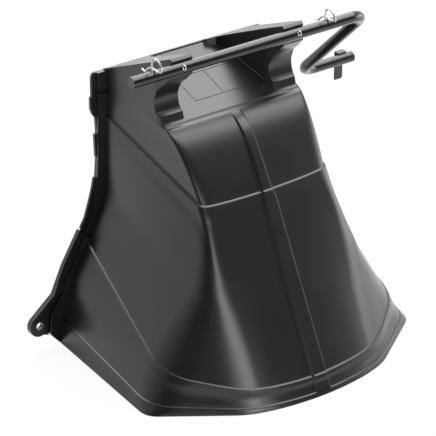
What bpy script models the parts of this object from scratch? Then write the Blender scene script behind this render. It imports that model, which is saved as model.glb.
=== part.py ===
"""Mower deck deflector.

A hood moulded in one piece hangs from a cranked steel rod. The rod lies in open seats at the
front of two hollow arms, one split pin holds it in each arm, an R-clip stands outside each arm,
and the rod's cranked end carries a small angled latch plate.

Frame: the origin is the middle of the hood's top rear rim, on the face that bears on the machine.
+X runs along the hinge rod towards its crank, -Y points away from the machine, +Z is up.
"""
import math

import bmesh
import bpy
from mathutils import Matrix, Vector

# Every size below is in millimetres; MM turns it into metres.
MM = 0.001

# Moulding
WALL = 3.5                  # thickness of the moulded wall
LEDGE = 3.0                 # each lower stretch of the hood stands out by this much
STEP_DROP = 1.2             # height over which a stretch steps out
LIP_HEIGHT = 8.5            # thicker band round the mouth
LIP_SWELL = 2.4
DECK_EDGE = 2.0             # rounding of the deck's side edges
CREASE_REACH = 4.5          # the groove across the deck's fold, to one side of its middle
CREASE_DEPTH = 1.2

# Hood, given as half widths, distances ahead of the rear face and drops below the rim
RIM_HALF = 124.0            # rear edge of the hood at the rim
DECK_HALF = 114.5           # front fold of the deck
DECK_DEPTH = 130.7
DECK_FALL = 43.3
BROW_ENTRY_DEG = 20.0       # slope of the brow just after the fold
FACE_LEAN_DEG = 63.4        # slope of the front face
UPPER_LEDGE_HALF = 105.0    # front corner of the upper ledge
UPPER_LEDGE_DEPTH = 202.0
UPPER_LEDGE_DROP = 133.3
UPPER_LEDGE_REAR_DROP = 60.4
LOWER_LEDGE_HALF = 112.7    # front corner of the lower ledge
LOWER_LEDGE_DEPTH = 308.7
LOWER_LEDGE_DROP = 360.0
LOWER_LEDGE_REAR_HALF = 154.7
LOWER_LEDGE_REAR_DROP = 245.0
SHOULDER_HALF = 194.7       # side corner of the lower ledge
SHOULDER_DEPTH = 241.3
SHOULDER_DROP = 339.3
SKIRT_HEIGHT = 33.3         # from the front corner of the lower ledge down to the level mouth
MOUTH_DROP = LOWER_LEDGE_DROP + SKIRT_HEIGHT
MOUTH_FRONT_HALF = 114.7    # the mouth is measured outside its lip
MOUTH_FRONT_DEPTH = 324.4
MOUTH_SIDE_HALF = 230.0
MOUTH_SIDE_DEPTH = 244.0
MOUTH_REAR_HALF = 210.7
FRONT_BOW = 17.0            # the front edge of the mouth bulges by this much
HIP_HALF = 190.5            # rear edge between the lower ledge and the mouth
HIP_ABOVE_MOUTH = 88.3
HIP_DROP = MOUTH_DROP - HIP_ABOVE_MOUTH
FLARE_HALF = 126.5          # rear edge where it starts to flare
FLARE_DROP = 163.0

# Stiffening strip down the middle of the front
STRIP_HALF_TOP = 6.5        # half width of its flat above the upper ledge
STRIP_HALF_MIDDLE = 8.8     # and just below it
STRIP_HALF_MOUTH = 10.6
STRIP_RAISE = 3.3
STRIP_EDGE = 2.6            # run of its sloped edges
GATE_RADIUS = 3.4           # shallow dimple on the strip
GATE_DROP = 169.0

# Mounting flange, its raised band and its ear; outlines are half width and drop pairs
FLANGE_THICK = 4.0
FLANGE_PROUD = 3.0          # the flange stands out by this much more below the lower ledge
BAND_PROUD = 4.0            # the band stands this far out of the flange
FRAME_DEPTH = 8.8           # ear strip, from the rear face
RIB_DEPTH = 9.7             # ear rib, from the rear face
WEB_DEPTH = 3.2             # floor of the pocket between them
FLANGE_TOP = 0.6            # the flange and the rim end this far above the deck's rear edge
UPPER_FLANGE = [(139.5, -0.3), (143.0, 1.6), (145.0, 7.5), (145.0, 34.6), (147.4, 35.6),
                (147.5, 52.0), (145.0, 60.5), (139.8, 67.9), (138.4, 91.0), (142.2, 92.6),
                (141.0, 125.2), (136.8, 133.2), (137.7, 155.6), (144.8, 157.4), (147.0, 168.7),
                (151.8, 186.6), (160.9, 214.3), (168.6, 227.2), (167.0, 234.0)]
UPPER_BAND = [(137.0, -0.15), (137.5, 28.0), (139.7, 129.0), (142.7, 167.0), (151.3, 208.4),
              (163.9, 235.0)]
LOWER_FLANGE = [(172.2, 228.6), (199.9, 274.8), (214.0, 305.0)]
LOWER_BAND = [(165.4, 238.6), (176.4, 256.4), (194.4, 290.0), (197.5, 296.5)]
EAR_STRIP = [(188.0, 297.5), (211.0, 298.8), (218.5, 315.4)]
POCKET = [(193.0, 304.5), (228.2, 332.0), (234.6, 346.6), (233.2, 366.0), (228.0, 379.0)]
EAR_RIB = [(193.6, 300.0), (224.6, 346.0), (226.6, 372.0), (225.0, 377.0)]
EAR_HALF = 243.2            # ear hole centre
EAR_DROP = 356.5
EAR_RADIUS = 16.0
EAR_HOLE_DIAMETER = 12.0
EAR_FOOT = [(228.6, 374.8), (224.2, 377.7), (212.7, 391.0)]
NOTCH_DROP = 29.4           # slit across the band, at its upper edge
NOTCH_HEIGHT = 2.0
RIM_BAR_HALF = 47.0
RIM_BAR_THICK = 3.0
RIM_BAR_HEIGHT = 9.0
REAR_STOCK = 2.0            # excess behind the rear face, trimmed off in one cut
TRIM_MARGIN = 60.0          # the trimming cut reaches this far past the hood

# Hinge rod
ROD_DIAMETER = 16.0
ROD_FORWARD = 145.3         # hinge axis ahead of the rear face
ROD_RISE = 46.0             # hinge axis above the rim
ROD_LEFT = 177.0
CRANK_SIDE = 218.0
CRANK_SPLAY = -6.0          # the second bend lies this far to the side of the first
CRANK_BACK = 142.5
CRANK_DROP = 139.6
CRANK_REACH = 105.5
BEND_RADIUS = 28.0
ROD_CHAMFER = 2.2

# Arms; side views are distance ahead of the rear face and height above the rim
ARM_INNER = 76.0
ARM_OUTER_TIP = 109.0
ARM_OUTER_STEP = 0.5        # the arm's outer side lies this far inside the cheek
ARM_ROOT_INNER = 43.0
ARM_NOSE_BEHIND = 2.6       # the arm's nose lies this far behind the hinge axis
ARM_CREST = 13.7            # arm crest above the hinge axis
ARM_CHIN = 15.5             # arm chin below the hinge axis
ARM_CHEST = 113.0           # the arm narrows from here forwards
THROAT = [(137.7, 28.4), (131.3, 21.7), (116.0, 8.3), (110.6, -3.7), (109.2, -9.0),
          (110.6, -19.0), (114.5, -27.0), (119.8, -30.4)]
ARM_BURY = 8.0              # the arm's foot runs this far down into the hood
ARM_WALL = 5.0              # the arms' own walls
ARM_EDGE_ROUND = 3.6
SEAT_CLEARANCE = 0.4
SEAT_BACKING = 11.0         # solid plastic behind the seat

# Wire fasteners
PIN_LEFT = 99.5
PIN_RIGHT = 92.0
PIN_TILT_DEG = 26.0         # the eye stands higher than the tips
PIN_WIRE = 2.0
PIN_EYE_RADIUS = 3.5
PIN_GAP = 0.3               # between its two legs
PIN_CLEARANCE = 0.35
PIN_LENGTH = 29.0           # leg length behind the hinge axis
CLIP_LEFT = 143.5
CLIP_RIGHT = 145.3
CLIP_WIRE = 2.4
CLIP_LEFT_TOP = 28.0        # top of the loop above the hinge axis
CLIP_RIGHT_TOP = 25.5
CLIP_LEAD = 3.0             # the loop drifts sideways by this much, clear of its own leg
CLIP_HOLE_CLEARANCE = 0.35

# Latch plate on the crank
LATCH_WIDTH = 14.5
LATCH_THICK = 2.5
LATCH_FROM_END = 20.0
LATCH_DROP = 35.0
LATCH_TOP = 10.5
LATCH_CORNER = 4.0
WELD_GAP = 0.3


def lerp(a, b, t):
    return a + (b - a) * t


def along(stops, t):
    """Reads a value off a list of (t, value) stops."""
    for (t0, v0), (t1, v1) in zip(stops, stops[1:]):
        if t <= t1:
            return lerp(v0, v1, (t - t0) / (t1 - t0))
    return stops[-1][1]


def quadratic(a, b, c, t):
    return a * (1 - t) ** 2 + b * 2 * t * (1 - t) + c * t ** 2


def fillet(before, vertex, after, setback, count):
    """Rounds a corner with a parabola that starts and ends setback away from it."""
    to_before = before - vertex
    to_after = after - vertex
    a = vertex + to_before.normalized() * min(setback, 0.45 * to_before.length)
    b = vertex + to_after.normalized() * min(setback, 0.45 * to_after.length)
    return [quadratic(a, vertex, b, i / (count - 1)) for i in range(count)]


def collection(name):
    made = bpy.data.collections.new(name)
    bpy.context.scene.collection.children.link(made)
    return made


def material(name, colour, roughness, metallic):
    made = bpy.data.materials.new(name)
    made.use_nodes = True
    shader = made.node_tree.nodes["Principled BSDF"]
    shader.inputs["Base Color"].default_value = (*colour, 1.0)
    shader.inputs["Roughness"].default_value = roughness
    shader.inputs["Metallic"].default_value = metallic
    return made


def mesh_object(name, bm, where):
    bmesh.ops.recalc_face_normals(bm, faces=bm.faces[:])
    mesh = bpy.data.meshes.new(name)
    bm.to_mesh(mesh)
    bm.free()
    made = bpy.data.objects.new(name, mesh)
    where.objects.link(made)
    return made


def as_cutter(obj):
    obj.hide_render = True
    obj.display_type = "WIRE"
    return obj


def boolean(target, operation, tool):
    modifier = target.modifiers.new(tool.name, "BOOLEAN")
    modifier.operation = operation
    modifier.object = tool
    modifier.solver = "EXACT"


def round_edges(target, width, segments, degrees):
    """Rounds the edges that are sharper than an angle."""
    modifier = target.modifiers.new("edge_round", "BEVEL")
    modifier.width = width * MM
    modifier.segments = segments
    modifier.limit_method = "ANGLE"
    modifier.angle_limit = math.radians(degrees)


def freeze(obj):
    """Replaces a curve or a modified object by the mesh it evaluates to."""
    bpy.context.view_layer.update()
    graph = bpy.context.evaluated_depsgraph_get()
    mesh = bpy.data.meshes.new_from_object(obj.evaluated_get(graph))
    made = bpy.data.objects.new(obj.name, mesh)
    made.matrix_world = obj.matrix_world
    for owner in obj.users_collection:
        owner.objects.link(made)
    name = obj.name
    bpy.data.objects.remove(obj)
    made.name = name
    bm = bmesh.new()
    bm.from_mesh(mesh)
    bmesh.ops.remove_doubles(bm, verts=bm.verts[:], dist=0.00002)
    bm.to_mesh(mesh)
    bm.free()
    return made


def block(name, low, high, where):
    """A box between two corners in millimetres."""
    bm = bmesh.new()
    bmesh.ops.create_cube(bm, size=1.0)
    made = mesh_object(name, bm, where)
    for vertex in made.data.vertices:
        for axis in range(3):
            vertex.co[axis] = lerp(low[axis], high[axis], vertex.co[axis] + 0.5) * MM
    return made


def plate(name, outline, low, high, plane, where):
    """A flat outline, drawn in the named plane, made solid between two offsets from it."""
    curve = bpy.data.curves.new(name, "CURVE")
    curve.dimensions = "2D"
    curve.fill_mode = "BOTH"
    curve.extrude = abs(high - low) / 2 * MM
    spline = curve.splines.new("POLY")
    spline.points.add(len(outline) - 1)
    for slot, (u, v) in zip(spline.points, outline):
        slot.co = (u * MM, v * MM, 0.0, 1.0)
    spline.use_cyclic_u = True
    made = bpy.data.objects.new(name, curve)
    where.objects.link(made)
    middle = (low + high) / 2 * MM
    made.matrix_world = {
        "XY": Matrix(((1, 0, 0, 0), (0, 1, 0, 0), (0, 0, 1, middle), (0, 0, 0, 1))),
        "XZ": Matrix(((1, 0, 0, 0), (0, 0, -1, middle), (0, 1, 0, 0), (0, 0, 0, 1))),
        "YZ": Matrix(((0, 0, 1, middle), (1, 0, 0, 0), (0, 1, 0, 0), (0, 0, 0, 1))),
    }[plane]
    return freeze(made)


def cylinder(name, radius, start, end, sides, where):
    """A round bar between two points in millimetres."""
    axis = Vector(end) - Vector(start)
    bm = bmesh.new()
    bmesh.ops.create_cone(bm, cap_ends=True, segments=sides, radius1=radius * MM,
                          radius2=radius * MM, depth=axis.length * MM)
    made = mesh_object(name, bm, where)
    made.rotation_mode = "QUATERNION"
    made.rotation_quaternion = axis.to_track_quat("Z", "Y")
    made.location = (Vector(start) + axis / 2) * MM
    return made


def tube(name, points, diameter, where, resolution=3, closed=False):
    """A round wire or rod along the given points."""
    curve = bpy.data.curves.new(name, "CURVE")
    curve.dimensions = "3D"
    curve.bevel_depth = diameter / 2 * MM
    curve.bevel_resolution = resolution
    curve.use_fill_caps = True
    spline = curve.splines.new("POLY")
    spline.points.add(len(points) - 1)
    for slot, point in zip(spline.points, points):
        slot.co = (*(Vector(point) * MM), 1.0)
    spline.use_cyclic_u = closed
    made = bpy.data.objects.new(name, curve)
    where.objects.link(made)
    return made


# The hood's cross-sections are numbered by a position s that runs down its front:
# 0 at the deck's fold, 1 at the upper ledge, 2 at the lower ledge and 3 at the mouth.

def deck_height(y):
    return y * DECK_FALL / DECK_DEPTH


def brow_control():
    """Where the brow's two end tangents meet, as distance ahead and drop."""
    entry = math.radians(BROW_ENTRY_DEG)
    lean = math.radians(FACE_LEAN_DEG)
    run = UPPER_LEDGE_DEPTH - DECK_DEPTH
    fall = UPPER_LEDGE_DROP - DECK_FALL
    reach = (run * math.tan(lean) - fall) / (math.tan(lean) - math.tan(entry))
    return DECK_DEPTH + reach, DECK_FALL + reach * math.tan(entry)


def front_corner(s):
    if s <= 1:
        ahead, drop = brow_control()
        depth = quadratic(DECK_DEPTH, ahead, UPPER_LEDGE_DEPTH, s)
        fall = quadratic(DECK_FALL, drop, UPPER_LEDGE_DROP, s)
        return Vector((lerp(DECK_HALF, UPPER_LEDGE_HALF, s), -depth, -fall))
    upper = Vector((UPPER_LEDGE_HALF, -UPPER_LEDGE_DEPTH, -UPPER_LEDGE_DROP))
    lower = Vector((LOWER_LEDGE_HALF, -LOWER_LEDGE_DEPTH, -LOWER_LEDGE_DROP))
    mouth = Vector((MOUTH_FRONT_HALF, -MOUTH_FRONT_DEPTH, -MOUTH_DROP))
    return upper.lerp(lower, s - 1) if s <= 2 else lower.lerp(mouth, s - 2)


def front_middle(s):
    corner = front_corner(s)
    bow = along([(0, 0.0), (1, 0.18 * FRONT_BOW), (2, 0.8 * FRONT_BOW), (3, FRONT_BOW)], s)
    sag = along([(0, 0.0), (1, LEDGE), (2, 2 * LEDGE), (3, 0.0)], s)
    return Vector((0, corner.y - bow, corner.z - sag))


def rear_drop(s):
    return along([(0, 0.0), (1, UPPER_LEDGE_REAR_DROP), (2, LOWER_LEDGE_REAR_DROP),
                  (2.4, HIP_DROP), (3, MOUTH_DROP)], s)


def rear_half(drop):
    return along([(0, RIM_HALF), (FLARE_DROP, FLARE_HALF),
                  (LOWER_LEDGE_REAR_DROP, LOWER_LEDGE_REAR_HALF),
                  (HIP_DROP, HIP_HALF), (MOUTH_DROP, MOUTH_REAR_HALF)], drop)


def rear_corner(s):
    drop = rear_drop(s)
    return Vector((rear_half(drop), 0, -drop))


def side_corner(s):
    """The edge between cheek and chamfer, which starts on the front corner at s = 1.1."""
    corner = front_corner(s)
    rear = rear_corner(s)
    start = 1.1
    if s <= start:
        return corner.lerp(rear, 0.08)
    shoulder = Vector((SHOULDER_HALF, -SHOULDER_DEPTH, -SHOULDER_DROP))
    mouth = Vector((MOUTH_SIDE_HALF, -MOUTH_SIDE_DEPTH, -MOUTH_DROP))
    if s > 2:
        return shoulder.lerp(mouth, s - 2)
    apex = front_corner(start).lerp(rear_corner(start), 0.08)
    t = (s - start) / (2 - start)
    spread = along([(0, 0.0), (0.244, 0.1), (0.51, 0.31), (0.71, 0.58), (1, 1.0)], t)
    ahead = along([(0, 0.0), (0.244, 0.62), (0.51, 0.95), (1, 1.0)], t)
    return Vector((lerp(apex.x, shoulder.x, spread), lerp(apex.y, shoulder.y, ahead),
                   lerp(apex.z, shoulder.z, t)))


def strip_half(s):
    return along([(0, STRIP_HALF_TOP), (0.95, STRIP_HALF_TOP), (1.05, STRIP_HALF_MIDDLE),
                  (3, STRIP_HALF_MOUTH)], s)


def half_section(s, strip):
    """One cross-section from its right rear edge round to the middle of the front."""
    rear = rear_corner(s)
    side = side_corner(s)
    corner = front_corner(s)
    middle = front_middle(s)

    def front(x):
        share = (x / corner.x) ** 2
        return Vector((x, lerp(middle.y, corner.y, share), lerp(middle.z, corner.z, share)))

    side_set = along([(0, 4.0), (1, 5.0), (1.5, 12.0), (2, 20.0), (3, 22.0)], s)
    corner_set = along([(0, 5.0), (1, 7.0), (1.5, 16.0), (2, 22.0), (3, 24.0)], s)
    side_round = fillet(rear, side, corner, side_set, 4)
    corner_round = fillet(side, corner, front(0.55 * corner.x), corner_set, 5)
    points = [rear.lerp(side_round[0], share) for share in (0.0, 0.2, 0.4, 0.6, 0.8)]
    points += side_round
    points += [side_round[-1].lerp(corner_round[0], share) for share in (0.33, 0.67)]
    points += corner_round
    points += [front(0.6 * corner.x), front(0.34 * corner.x)]
    half = strip_half(s)
    raised = strip * STRIP_RAISE * Vector((0, -0.9, 0.43))
    points += [front(half + STRIP_EDGE), front(half) + raised, front(0.0) + raised]
    return points


def whole_section(half):
    """Mirrors a half section, keeping its middle point once."""
    left = [Vector((-p.x, p.y, p.z)) for p in half]
    return left + half[-2::-1]


def plan_normals(points):
    """Outward horizontal normals of a section; the rear ends face straight sideways."""
    normals = []
    for i, point in enumerate(points):
        if i == 0 or i == len(points) - 1:
            normals.append(Vector((1, 0, 0)) if point.x > 0 else Vector((-1, 0, 0)))
            continue
        run = points[i + 1] - points[i - 1]
        normals.append(Vector((run.y, -run.x, 0)).normalized())
    return normals


def deck_ring(inset):
    """The deck's outline; inset moves it in from its side edges and back from the fold."""
    points = whole_section(half_section(0, 0.0))
    moved = []
    for point, normal in zip(points, plan_normals(points)):
        run = lerp(DECK_EDGE, CREASE_REACH, max(0.0, -normal.y)) * inset
        new = point - normal * run
        moved.append(Vector((new.x, new.y, deck_height(new.y) - CREASE_DEPTH * (1 - inset))))
    for i in (0, -1):
        moved[i] = Vector((moved[i].x, REAR_STOCK, deck_height(REAR_STOCK) - CREASE_DEPTH * (1 - inset)))
    return moved


def skirt_swell(s):
    """How far the skirt stands out of its guide lines, which end on the outside of the lip."""
    return lerp(2 * LEDGE, -LIP_SWELL, s - 2)


def outer_section(s, swell, strip, drop=0.0):
    points = whole_section(half_section(s, strip))
    moved = []
    for point, normal in zip(points, plan_normals(points)):
        moved.append(point + normal * swell - Vector((0, 0, drop)))
    moved[0].y = REAR_STOCK
    moved[-1].y = REAR_STOCK
    return moved


def inner_section(s, swell):
    """The inside face: the outside one moved inwards by the wall."""
    points = whole_section(half_section(s, 0.0))
    slope = math.radians(along([(0, BROW_ENTRY_DEG), (1, FACE_LEAN_DEG), (3, FACE_LEAN_DEG)], s))
    moved = []
    for point, normal in zip(points, plan_normals(points)):
        facing = abs(normal.y)
        inward = WALL * lerp(1.0, math.sin(slope), facing) - swell
        down = WALL * math.cos(slope) * facing
        new = point - normal * inward - Vector((0, 0, down))
        if s == 0:
            new.z = deck_height(new.y) - WALL
        moved.append(new)
    moved[0].y = 2 * REAR_STOCK
    moved[-1].y = 2 * REAR_STOCK
    if s == 0:
        moved[0].z = deck_height(2 * REAR_STOCK) - WALL
        moved[-1].z = deck_height(2 * REAR_STOCK) - WALL
    return moved


def loft(name, sections, where):
    """Skins a stack of open sections and closes its top, bottom and rear with flat faces."""
    bm = bmesh.new()
    rows = [[bm.verts.new(p * MM) for p in section] for section in sections]
    for upper, lower in zip(rows, rows[1:]):
        for i in range(len(upper) - 1):
            bm.faces.new((upper[i], upper[i + 1], lower[i + 1], lower[i]))
    bm.faces.new(rows[0])
    bm.faces.new(rows[-1])
    bm.faces.new([row[0] for row in rows] + [row[-1] for row in reversed(rows)])
    return mesh_object(name, bm, where)


def hood_outside(where):
    lip_start = 3 - LIP_HEIGHT / SKIRT_HEIGHT
    sections = [deck_ring(1.0), deck_ring(0.0)]
    sections += [outer_section(s, 0.0, along([(0.07, 0.0), (0.42, 1.0), (3, 1.0)], s))
                 for s in (0.07, 0.16, 0.28, 0.42, 0.56, 0.7, 0.85, 1)]
    sections += [outer_section(s, LEDGE, 1.0, STEP_DROP if s == 1 else 0.0)
                 for s in (1, 1.1, 1.21, 1.32, 1.44, 1.56, 1.65, 1.75, 1.88, 2)]
    sections += [outer_section(s, skirt_swell(s), 1.0, STEP_DROP if s == 2 else 0.0)
                 for s in (2, 2.4, lip_start)]
    sections += [outer_section(s, skirt_swell(s) + LIP_SWELL, 0.0, STEP_DROP if s < 3 else 0.0)
                 for s in (lip_start, 3)]
    return loft("hood_outside", sections, where)


def hood_inside(where):
    sections = [inner_section(s, 0.0) for s in (0, 0.2, 0.4, 0.6, 0.8, 1)]
    sections += [inner_section(s, LEDGE) for s in (1.1, 1.21, 1.32, 1.44, 1.56, 1.65, 1.75, 1.88, 2)]
    sections += [inner_section(s, skirt_swell(s)) for s in (2.12, 2.4, 3)]
    below = [Vector((p.x, p.y, -MOUTH_DROP - WALL)) for p in sections[-1]]
    return loft("hood_inside", sections + [below], where)


def cheek_half(ahead):
    """Half width of the hood at the deck's side edge, at a distance ahead of the rear face."""
    return lerp(RIM_HALF, DECK_HALF, ahead / DECK_DEPTH)


def arm_profile():
    """Side view of an arm, as (y, z), from its root up over the crest and down the throat."""
    nose = ARM_NOSE_BEHIND - ROD_FORWARD
    crest = ROD_RISE + ARM_CREST
    chin = ROD_RISE - ARM_CHIN
    foot = -THROAT[-1][0] - 3.0
    throat = [(-ahead, height) for ahead, height in THROAT]
    return ([(1.5 * REAR_STOCK, FLANGE_TOP), (0, FLANGE_TOP), (nose + 5, crest), (nose, crest - 3),
             (nose, chin + 2.5), (nose + 2, chin)] + throat
            + [(foot, deck_height(foot) + 1.0), (foot, deck_height(foot) - ARM_BURY), (0, -ARM_BURY),
               (1.5 * REAR_STOCK, -ARM_BURY)])


def arm_hollow_profile():
    """Side view of the space inside an arm, which is open downwards into the hood."""
    nose = ARM_NOSE_BEHIND - ROD_FORWARD
    crest = ROD_RISE + ARM_CREST
    front = -ROD_FORWARD + ROD_DIAMETER / 2 + SEAT_BACKING
    rise = (crest - FLANGE_TOP) / -(nose + 5)
    top = FLANGE_TOP - 1.1 * WALL
    back = -THROAT[4][0] + ARM_WALL
    bottom = -60
    return [(3 * REAR_STOCK, top), (0, top), (front, top - rise * front),
            (front, THROAT[1][1] + 3), (-THROAT[2][0] + 4, THROAT[2][1] + 4), (back - 1, THROAT[3][1] + 1.5),
            (back, THROAT[4][1]), (back - 1, THROAT[5][1]), (back - 1, bottom), (3 * REAR_STOCK, bottom)]


def arm_plan(side, inset, reach):
    """Plan outline of an arm; side is +1 or -1, reach is how far ahead it runs."""
    rear = 4 * REAR_STOCK
    outer = inset + ARM_OUTER_STEP
    rows = [(ARM_INNER + inset, -reach), (ARM_INNER + inset, -101 + inset),
            (ARM_INNER - 7.5 + inset, -51), (ARM_INNER - 14 + inset, -26.5),
            (ARM_INNER - 21 + inset, -16 + inset), (ARM_ROOT_INNER + inset, -10.7 + inset),
            (ARM_ROOT_INNER + inset, rear), (cheek_half(0) - outer, rear), (cheek_half(0) - outer, 0),
            (cheek_half(ARM_CHEST) - outer, -ARM_CHEST), (ARM_OUTER_TIP - inset, -reach)]
    return [(side * x, y) for x, y in rows]


def arm(side, name, where):
    """An arm's outer block: its side view cut to its plan."""
    made = plate("arm_block_" + name, arm_profile(), side * 30, side * 135, "YZ", where)
    reach = ROD_FORWARD - ARM_NOSE_BEHIND + 1
    plan = as_cutter(plate("arm_plan_" + name, arm_plan(side, 0.0, reach), -60, 120, "XY", where))
    boolean(made, "INTERSECT", plan)
    round_edges(made, ARM_EDGE_ROUND, 3, 50)
    return as_cutter(made)


def arm_hollow(side, name, where):
    made = plate("hollow_block_" + name, arm_hollow_profile(), side * 30, side * 135, "YZ", where)
    plan = as_cutter(plate("hollow_plan_" + name, arm_plan(side, ARM_WALL, ROD_FORWARD), -80, 120, "XY",
                           where))
    boolean(made, "INTERSECT", plan)
    return as_cutter(made)


def wall_line(depth, drops):
    """Points inside the cheek's wall at its rear edge, from the bottom up; depth is a share of it."""
    return [(rear_half(max(drop, 0)) - depth * WALL, drop) for drop in sorted(drops, reverse=True)]


def ear_outline(inset):
    """The ear's outer edge, from the lower flange round its end to its foot."""
    radius = EAR_RADIUS - inset
    arc = [(half - inset, drop + 0.4 * inset) for half, drop in EAR_STRIP[1:]]
    for degrees in range(60, -111, -17):
        turn = math.radians(degrees)
        arc.append((EAR_HALF + radius * math.cos(turn), EAR_DROP - radius * math.sin(turn)))
    return arc + [(half, drop - 1.5 * inset) for half, drop in EAR_FOOT]


def flange_pieces():
    """The flange's flat pieces: outline and depth ahead of the rear face."""
    low = LOWER_FLANGE[0][1] + 15
    upper = UPPER_FLANGE + wall_line(0.24, (low, 200, FLARE_DROP, UPPER_FLANGE[0][1]))
    upper_band = UPPER_BAND + wall_line(0.44, (low - 3, 200, FLARE_DROP, UPPER_BAND[0][1]))
    waist = (HIP_DROP, LOWER_LEDGE_REAR_DROP + 4, LOWER_LEDGE_REAR_DROP - 1)
    lower = LOWER_FLANGE + wall_line(0.34, waist)
    lower_band = LOWER_BAND + [EAR_RIB[0]] + wall_line(0.54, waist)
    foot = (MOUTH_DROP - 2, HIP_DROP - 12)
    web = ear_outline(0.7) + wall_line(0.29, foot)
    strip = EAR_STRIP[:1] + ear_outline(0.0)[:-2] + POCKET[-2::-1]
    rib = EAR_RIB + EAR_FOOT[-1:] + wall_line(0.64, foot)
    return [("upper_flange", upper, FLANGE_THICK),
            ("upper_band", upper_band, FLANGE_THICK + BAND_PROUD),
            ("lower_flange", lower, FLANGE_THICK + FLANGE_PROUD),
            ("lower_band", lower_band, FLANGE_THICK + FLANGE_PROUD + BAND_PROUD),
            ("ear_web", web, WEB_DEPTH),
            ("ear_strip", strip, FRAME_DEPTH),
            ("ear_rib", rib, RIB_DEPTH)]


def add_flange(shell, side, name, cutters):
    """Joins the flange, its band and its ear to the hood."""
    for number, (kind, outline, depth) in enumerate(flange_pieces()):
        piece = plate(kind + "_" + name, [(side * x, -drop) for x, drop in outline], -depth,
                      (1.07 + 0.06 * number) * REAR_STOCK, "XZ", cutters)
        boolean(shell, "UNION", as_cutter(piece))


def hood(where, cutters, finish):
    shell = hood_outside(where)
    shell.name = "deflector_shell"
    for side, name in ((-1, "left"), (1, "right")):
        boolean(shell, "UNION", arm(side, name, cutters))
        add_flange(shell, side, name, cutters)
    rim = block("rim_bar", (-RIM_BAR_HALF, -RIM_BAR_THICK, FLANGE_TOP - RIM_BAR_HEIGHT),
                (RIM_BAR_HALF, 0.85 * REAR_STOCK, FLANGE_TOP + 0.2), cutters)
    boolean(shell, "UNION", as_cutter(rim))
    boolean(shell, "DIFFERENCE", as_cutter(hood_inside(cutters)))
    gate_depth = front_middle(1.158).y - LEDGE - STRIP_RAISE
    gate = cylinder("gate_dimple", GATE_RADIUS, (0, gate_depth - 6, 3 - GATE_DROP), (0, gate_depth + 1.6, -GATE_DROP), 16, cutters)
    boolean(shell, "DIFFERENCE", as_cutter(gate))
    for side, name, station in ((-1, "left", -PIN_LEFT), (1, "right", PIN_RIGHT)):
        boolean(shell, "DIFFERENCE", arm_hollow(side, name, cutters))
        boolean(shell, "DIFFERENCE", pin_hole("pin_hole_" + name, station, 0, PIN_LENGTH + 4, cutters))
        ear_hole = cylinder("ear_hole_" + name, EAR_HOLE_DIAMETER / 2,
                            (side * EAR_HALF, -2 * FRAME_DEPTH, -EAR_DROP),
                            (side * EAR_HALF, 3 * REAR_STOCK, -EAR_DROP), 28, cutters)
        boolean(shell, "DIFFERENCE", as_cutter(ear_hole))
        near, far = sorted((side * (RIM_HALF + 1), side * (UPPER_BAND[1][0] + 2)))
        notch = block("notch_" + name, (near, -3 * FLANGE_THICK, -NOTCH_DROP - NOTCH_HEIGHT),
                      (far, -FLANGE_THICK - 0.4, -NOTCH_DROP), cutters)
        boolean(shell, "DIFFERENCE", as_cutter(notch))
    seat = cylinder("seat", ROD_DIAMETER / 2 + SEAT_CLEARANCE, (-RIM_HALF - 20, -ROD_FORWARD, ROD_RISE),
                    (RIM_HALF + 20, -ROD_FORWARD, ROD_RISE), 32, cutters)
    boolean(shell, "DIFFERENCE", as_cutter(seat))
    side = EAR_HALF + TRIM_MARGIN
    trim = block("rear_trim", (-side, 0, -MOUTH_DROP - TRIM_MARGIN),
                 (side, 10 * REAR_STOCK, ROD_RISE + TRIM_MARGIN), cutters)
    boolean(shell, "DIFFERENCE", as_cutter(trim))
    shell.data.materials.append(finish)
    return shell


def pin_axis(station, reach):
    """A point on a split pin's axis, a distance behind the hinge axis along it."""
    tilt = math.radians(PIN_TILT_DEG)
    return Vector((station, -ROD_FORWARD + reach * math.cos(tilt), ROD_RISE - reach * math.sin(tilt)))


def pin_hole(name, station, start, end, where):
    return as_cutter(cylinder(name, PIN_WIRE + PIN_GAP / 2 + PIN_CLEARANCE, pin_axis(station, start),
                              pin_axis(station, end), 14, where))


def bend(before, corner, after, radius, count):
    """Points of the arc that rounds a corner of the rod."""
    into = (corner - before).normalized()
    out = (after - corner).normalized()
    angle = into.angle(out)
    start = corner - into * radius * math.tan(angle / 2)
    inward = (out - into * into.dot(out)).normalized()
    centre = start + inward * radius
    return [centre + radius * (into * math.sin(angle * i / count) - inward * math.cos(angle * i / count))
            for i in range(count + 1)]


def rod_route():
    """Centre line of the rod with its two bends."""
    hinge = Vector((0, -ROD_FORWARD, ROD_RISE))
    first = hinge + Vector((CRANK_SIDE, 0, 0))
    second = first + Vector((CRANK_SPLAY, CRANK_BACK, -CRANK_DROP))
    end = second + Vector((CRANK_REACH, 0, 0))
    start = hinge - Vector((ROD_LEFT, 0, 0))
    return ([start] + bend(start, first, second, BEND_RADIUS, 8) + bend(first, second, end, BEND_RADIUS, 8)
            + [end])


def hinge_rod(where, cutters, finish):
    rod = freeze(tube("hinge_rod", rod_route(), ROD_DIAMETER, where, 6))
    round_edges(rod, ROD_CHAMFER, 2, 60)
    for station, name in ((-PIN_LEFT, "left"), (PIN_RIGHT, "right")):
        boolean(rod, "DIFFERENCE", pin_hole("rod_pin_hole_" + name, station, -ROD_DIAMETER,
                                            ROD_DIAMETER, cutters))
    for station, name in ((-CLIP_LEFT, "left"), (CLIP_RIGHT, "right")):
        drill = cylinder("rod_clip_hole_" + name, CLIP_WIRE / 2 + CLIP_HOLE_CLEARANCE,
                         (station, -ROD_FORWARD, ROD_RISE - ROD_DIAMETER),
                         (station, -ROD_FORWARD, ROD_RISE + ROD_DIAMETER), 12, cutters)
        boolean(rod, "DIFFERENCE", as_cutter(drill))
    rod.data.materials.append(finish)
    return rod


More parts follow.
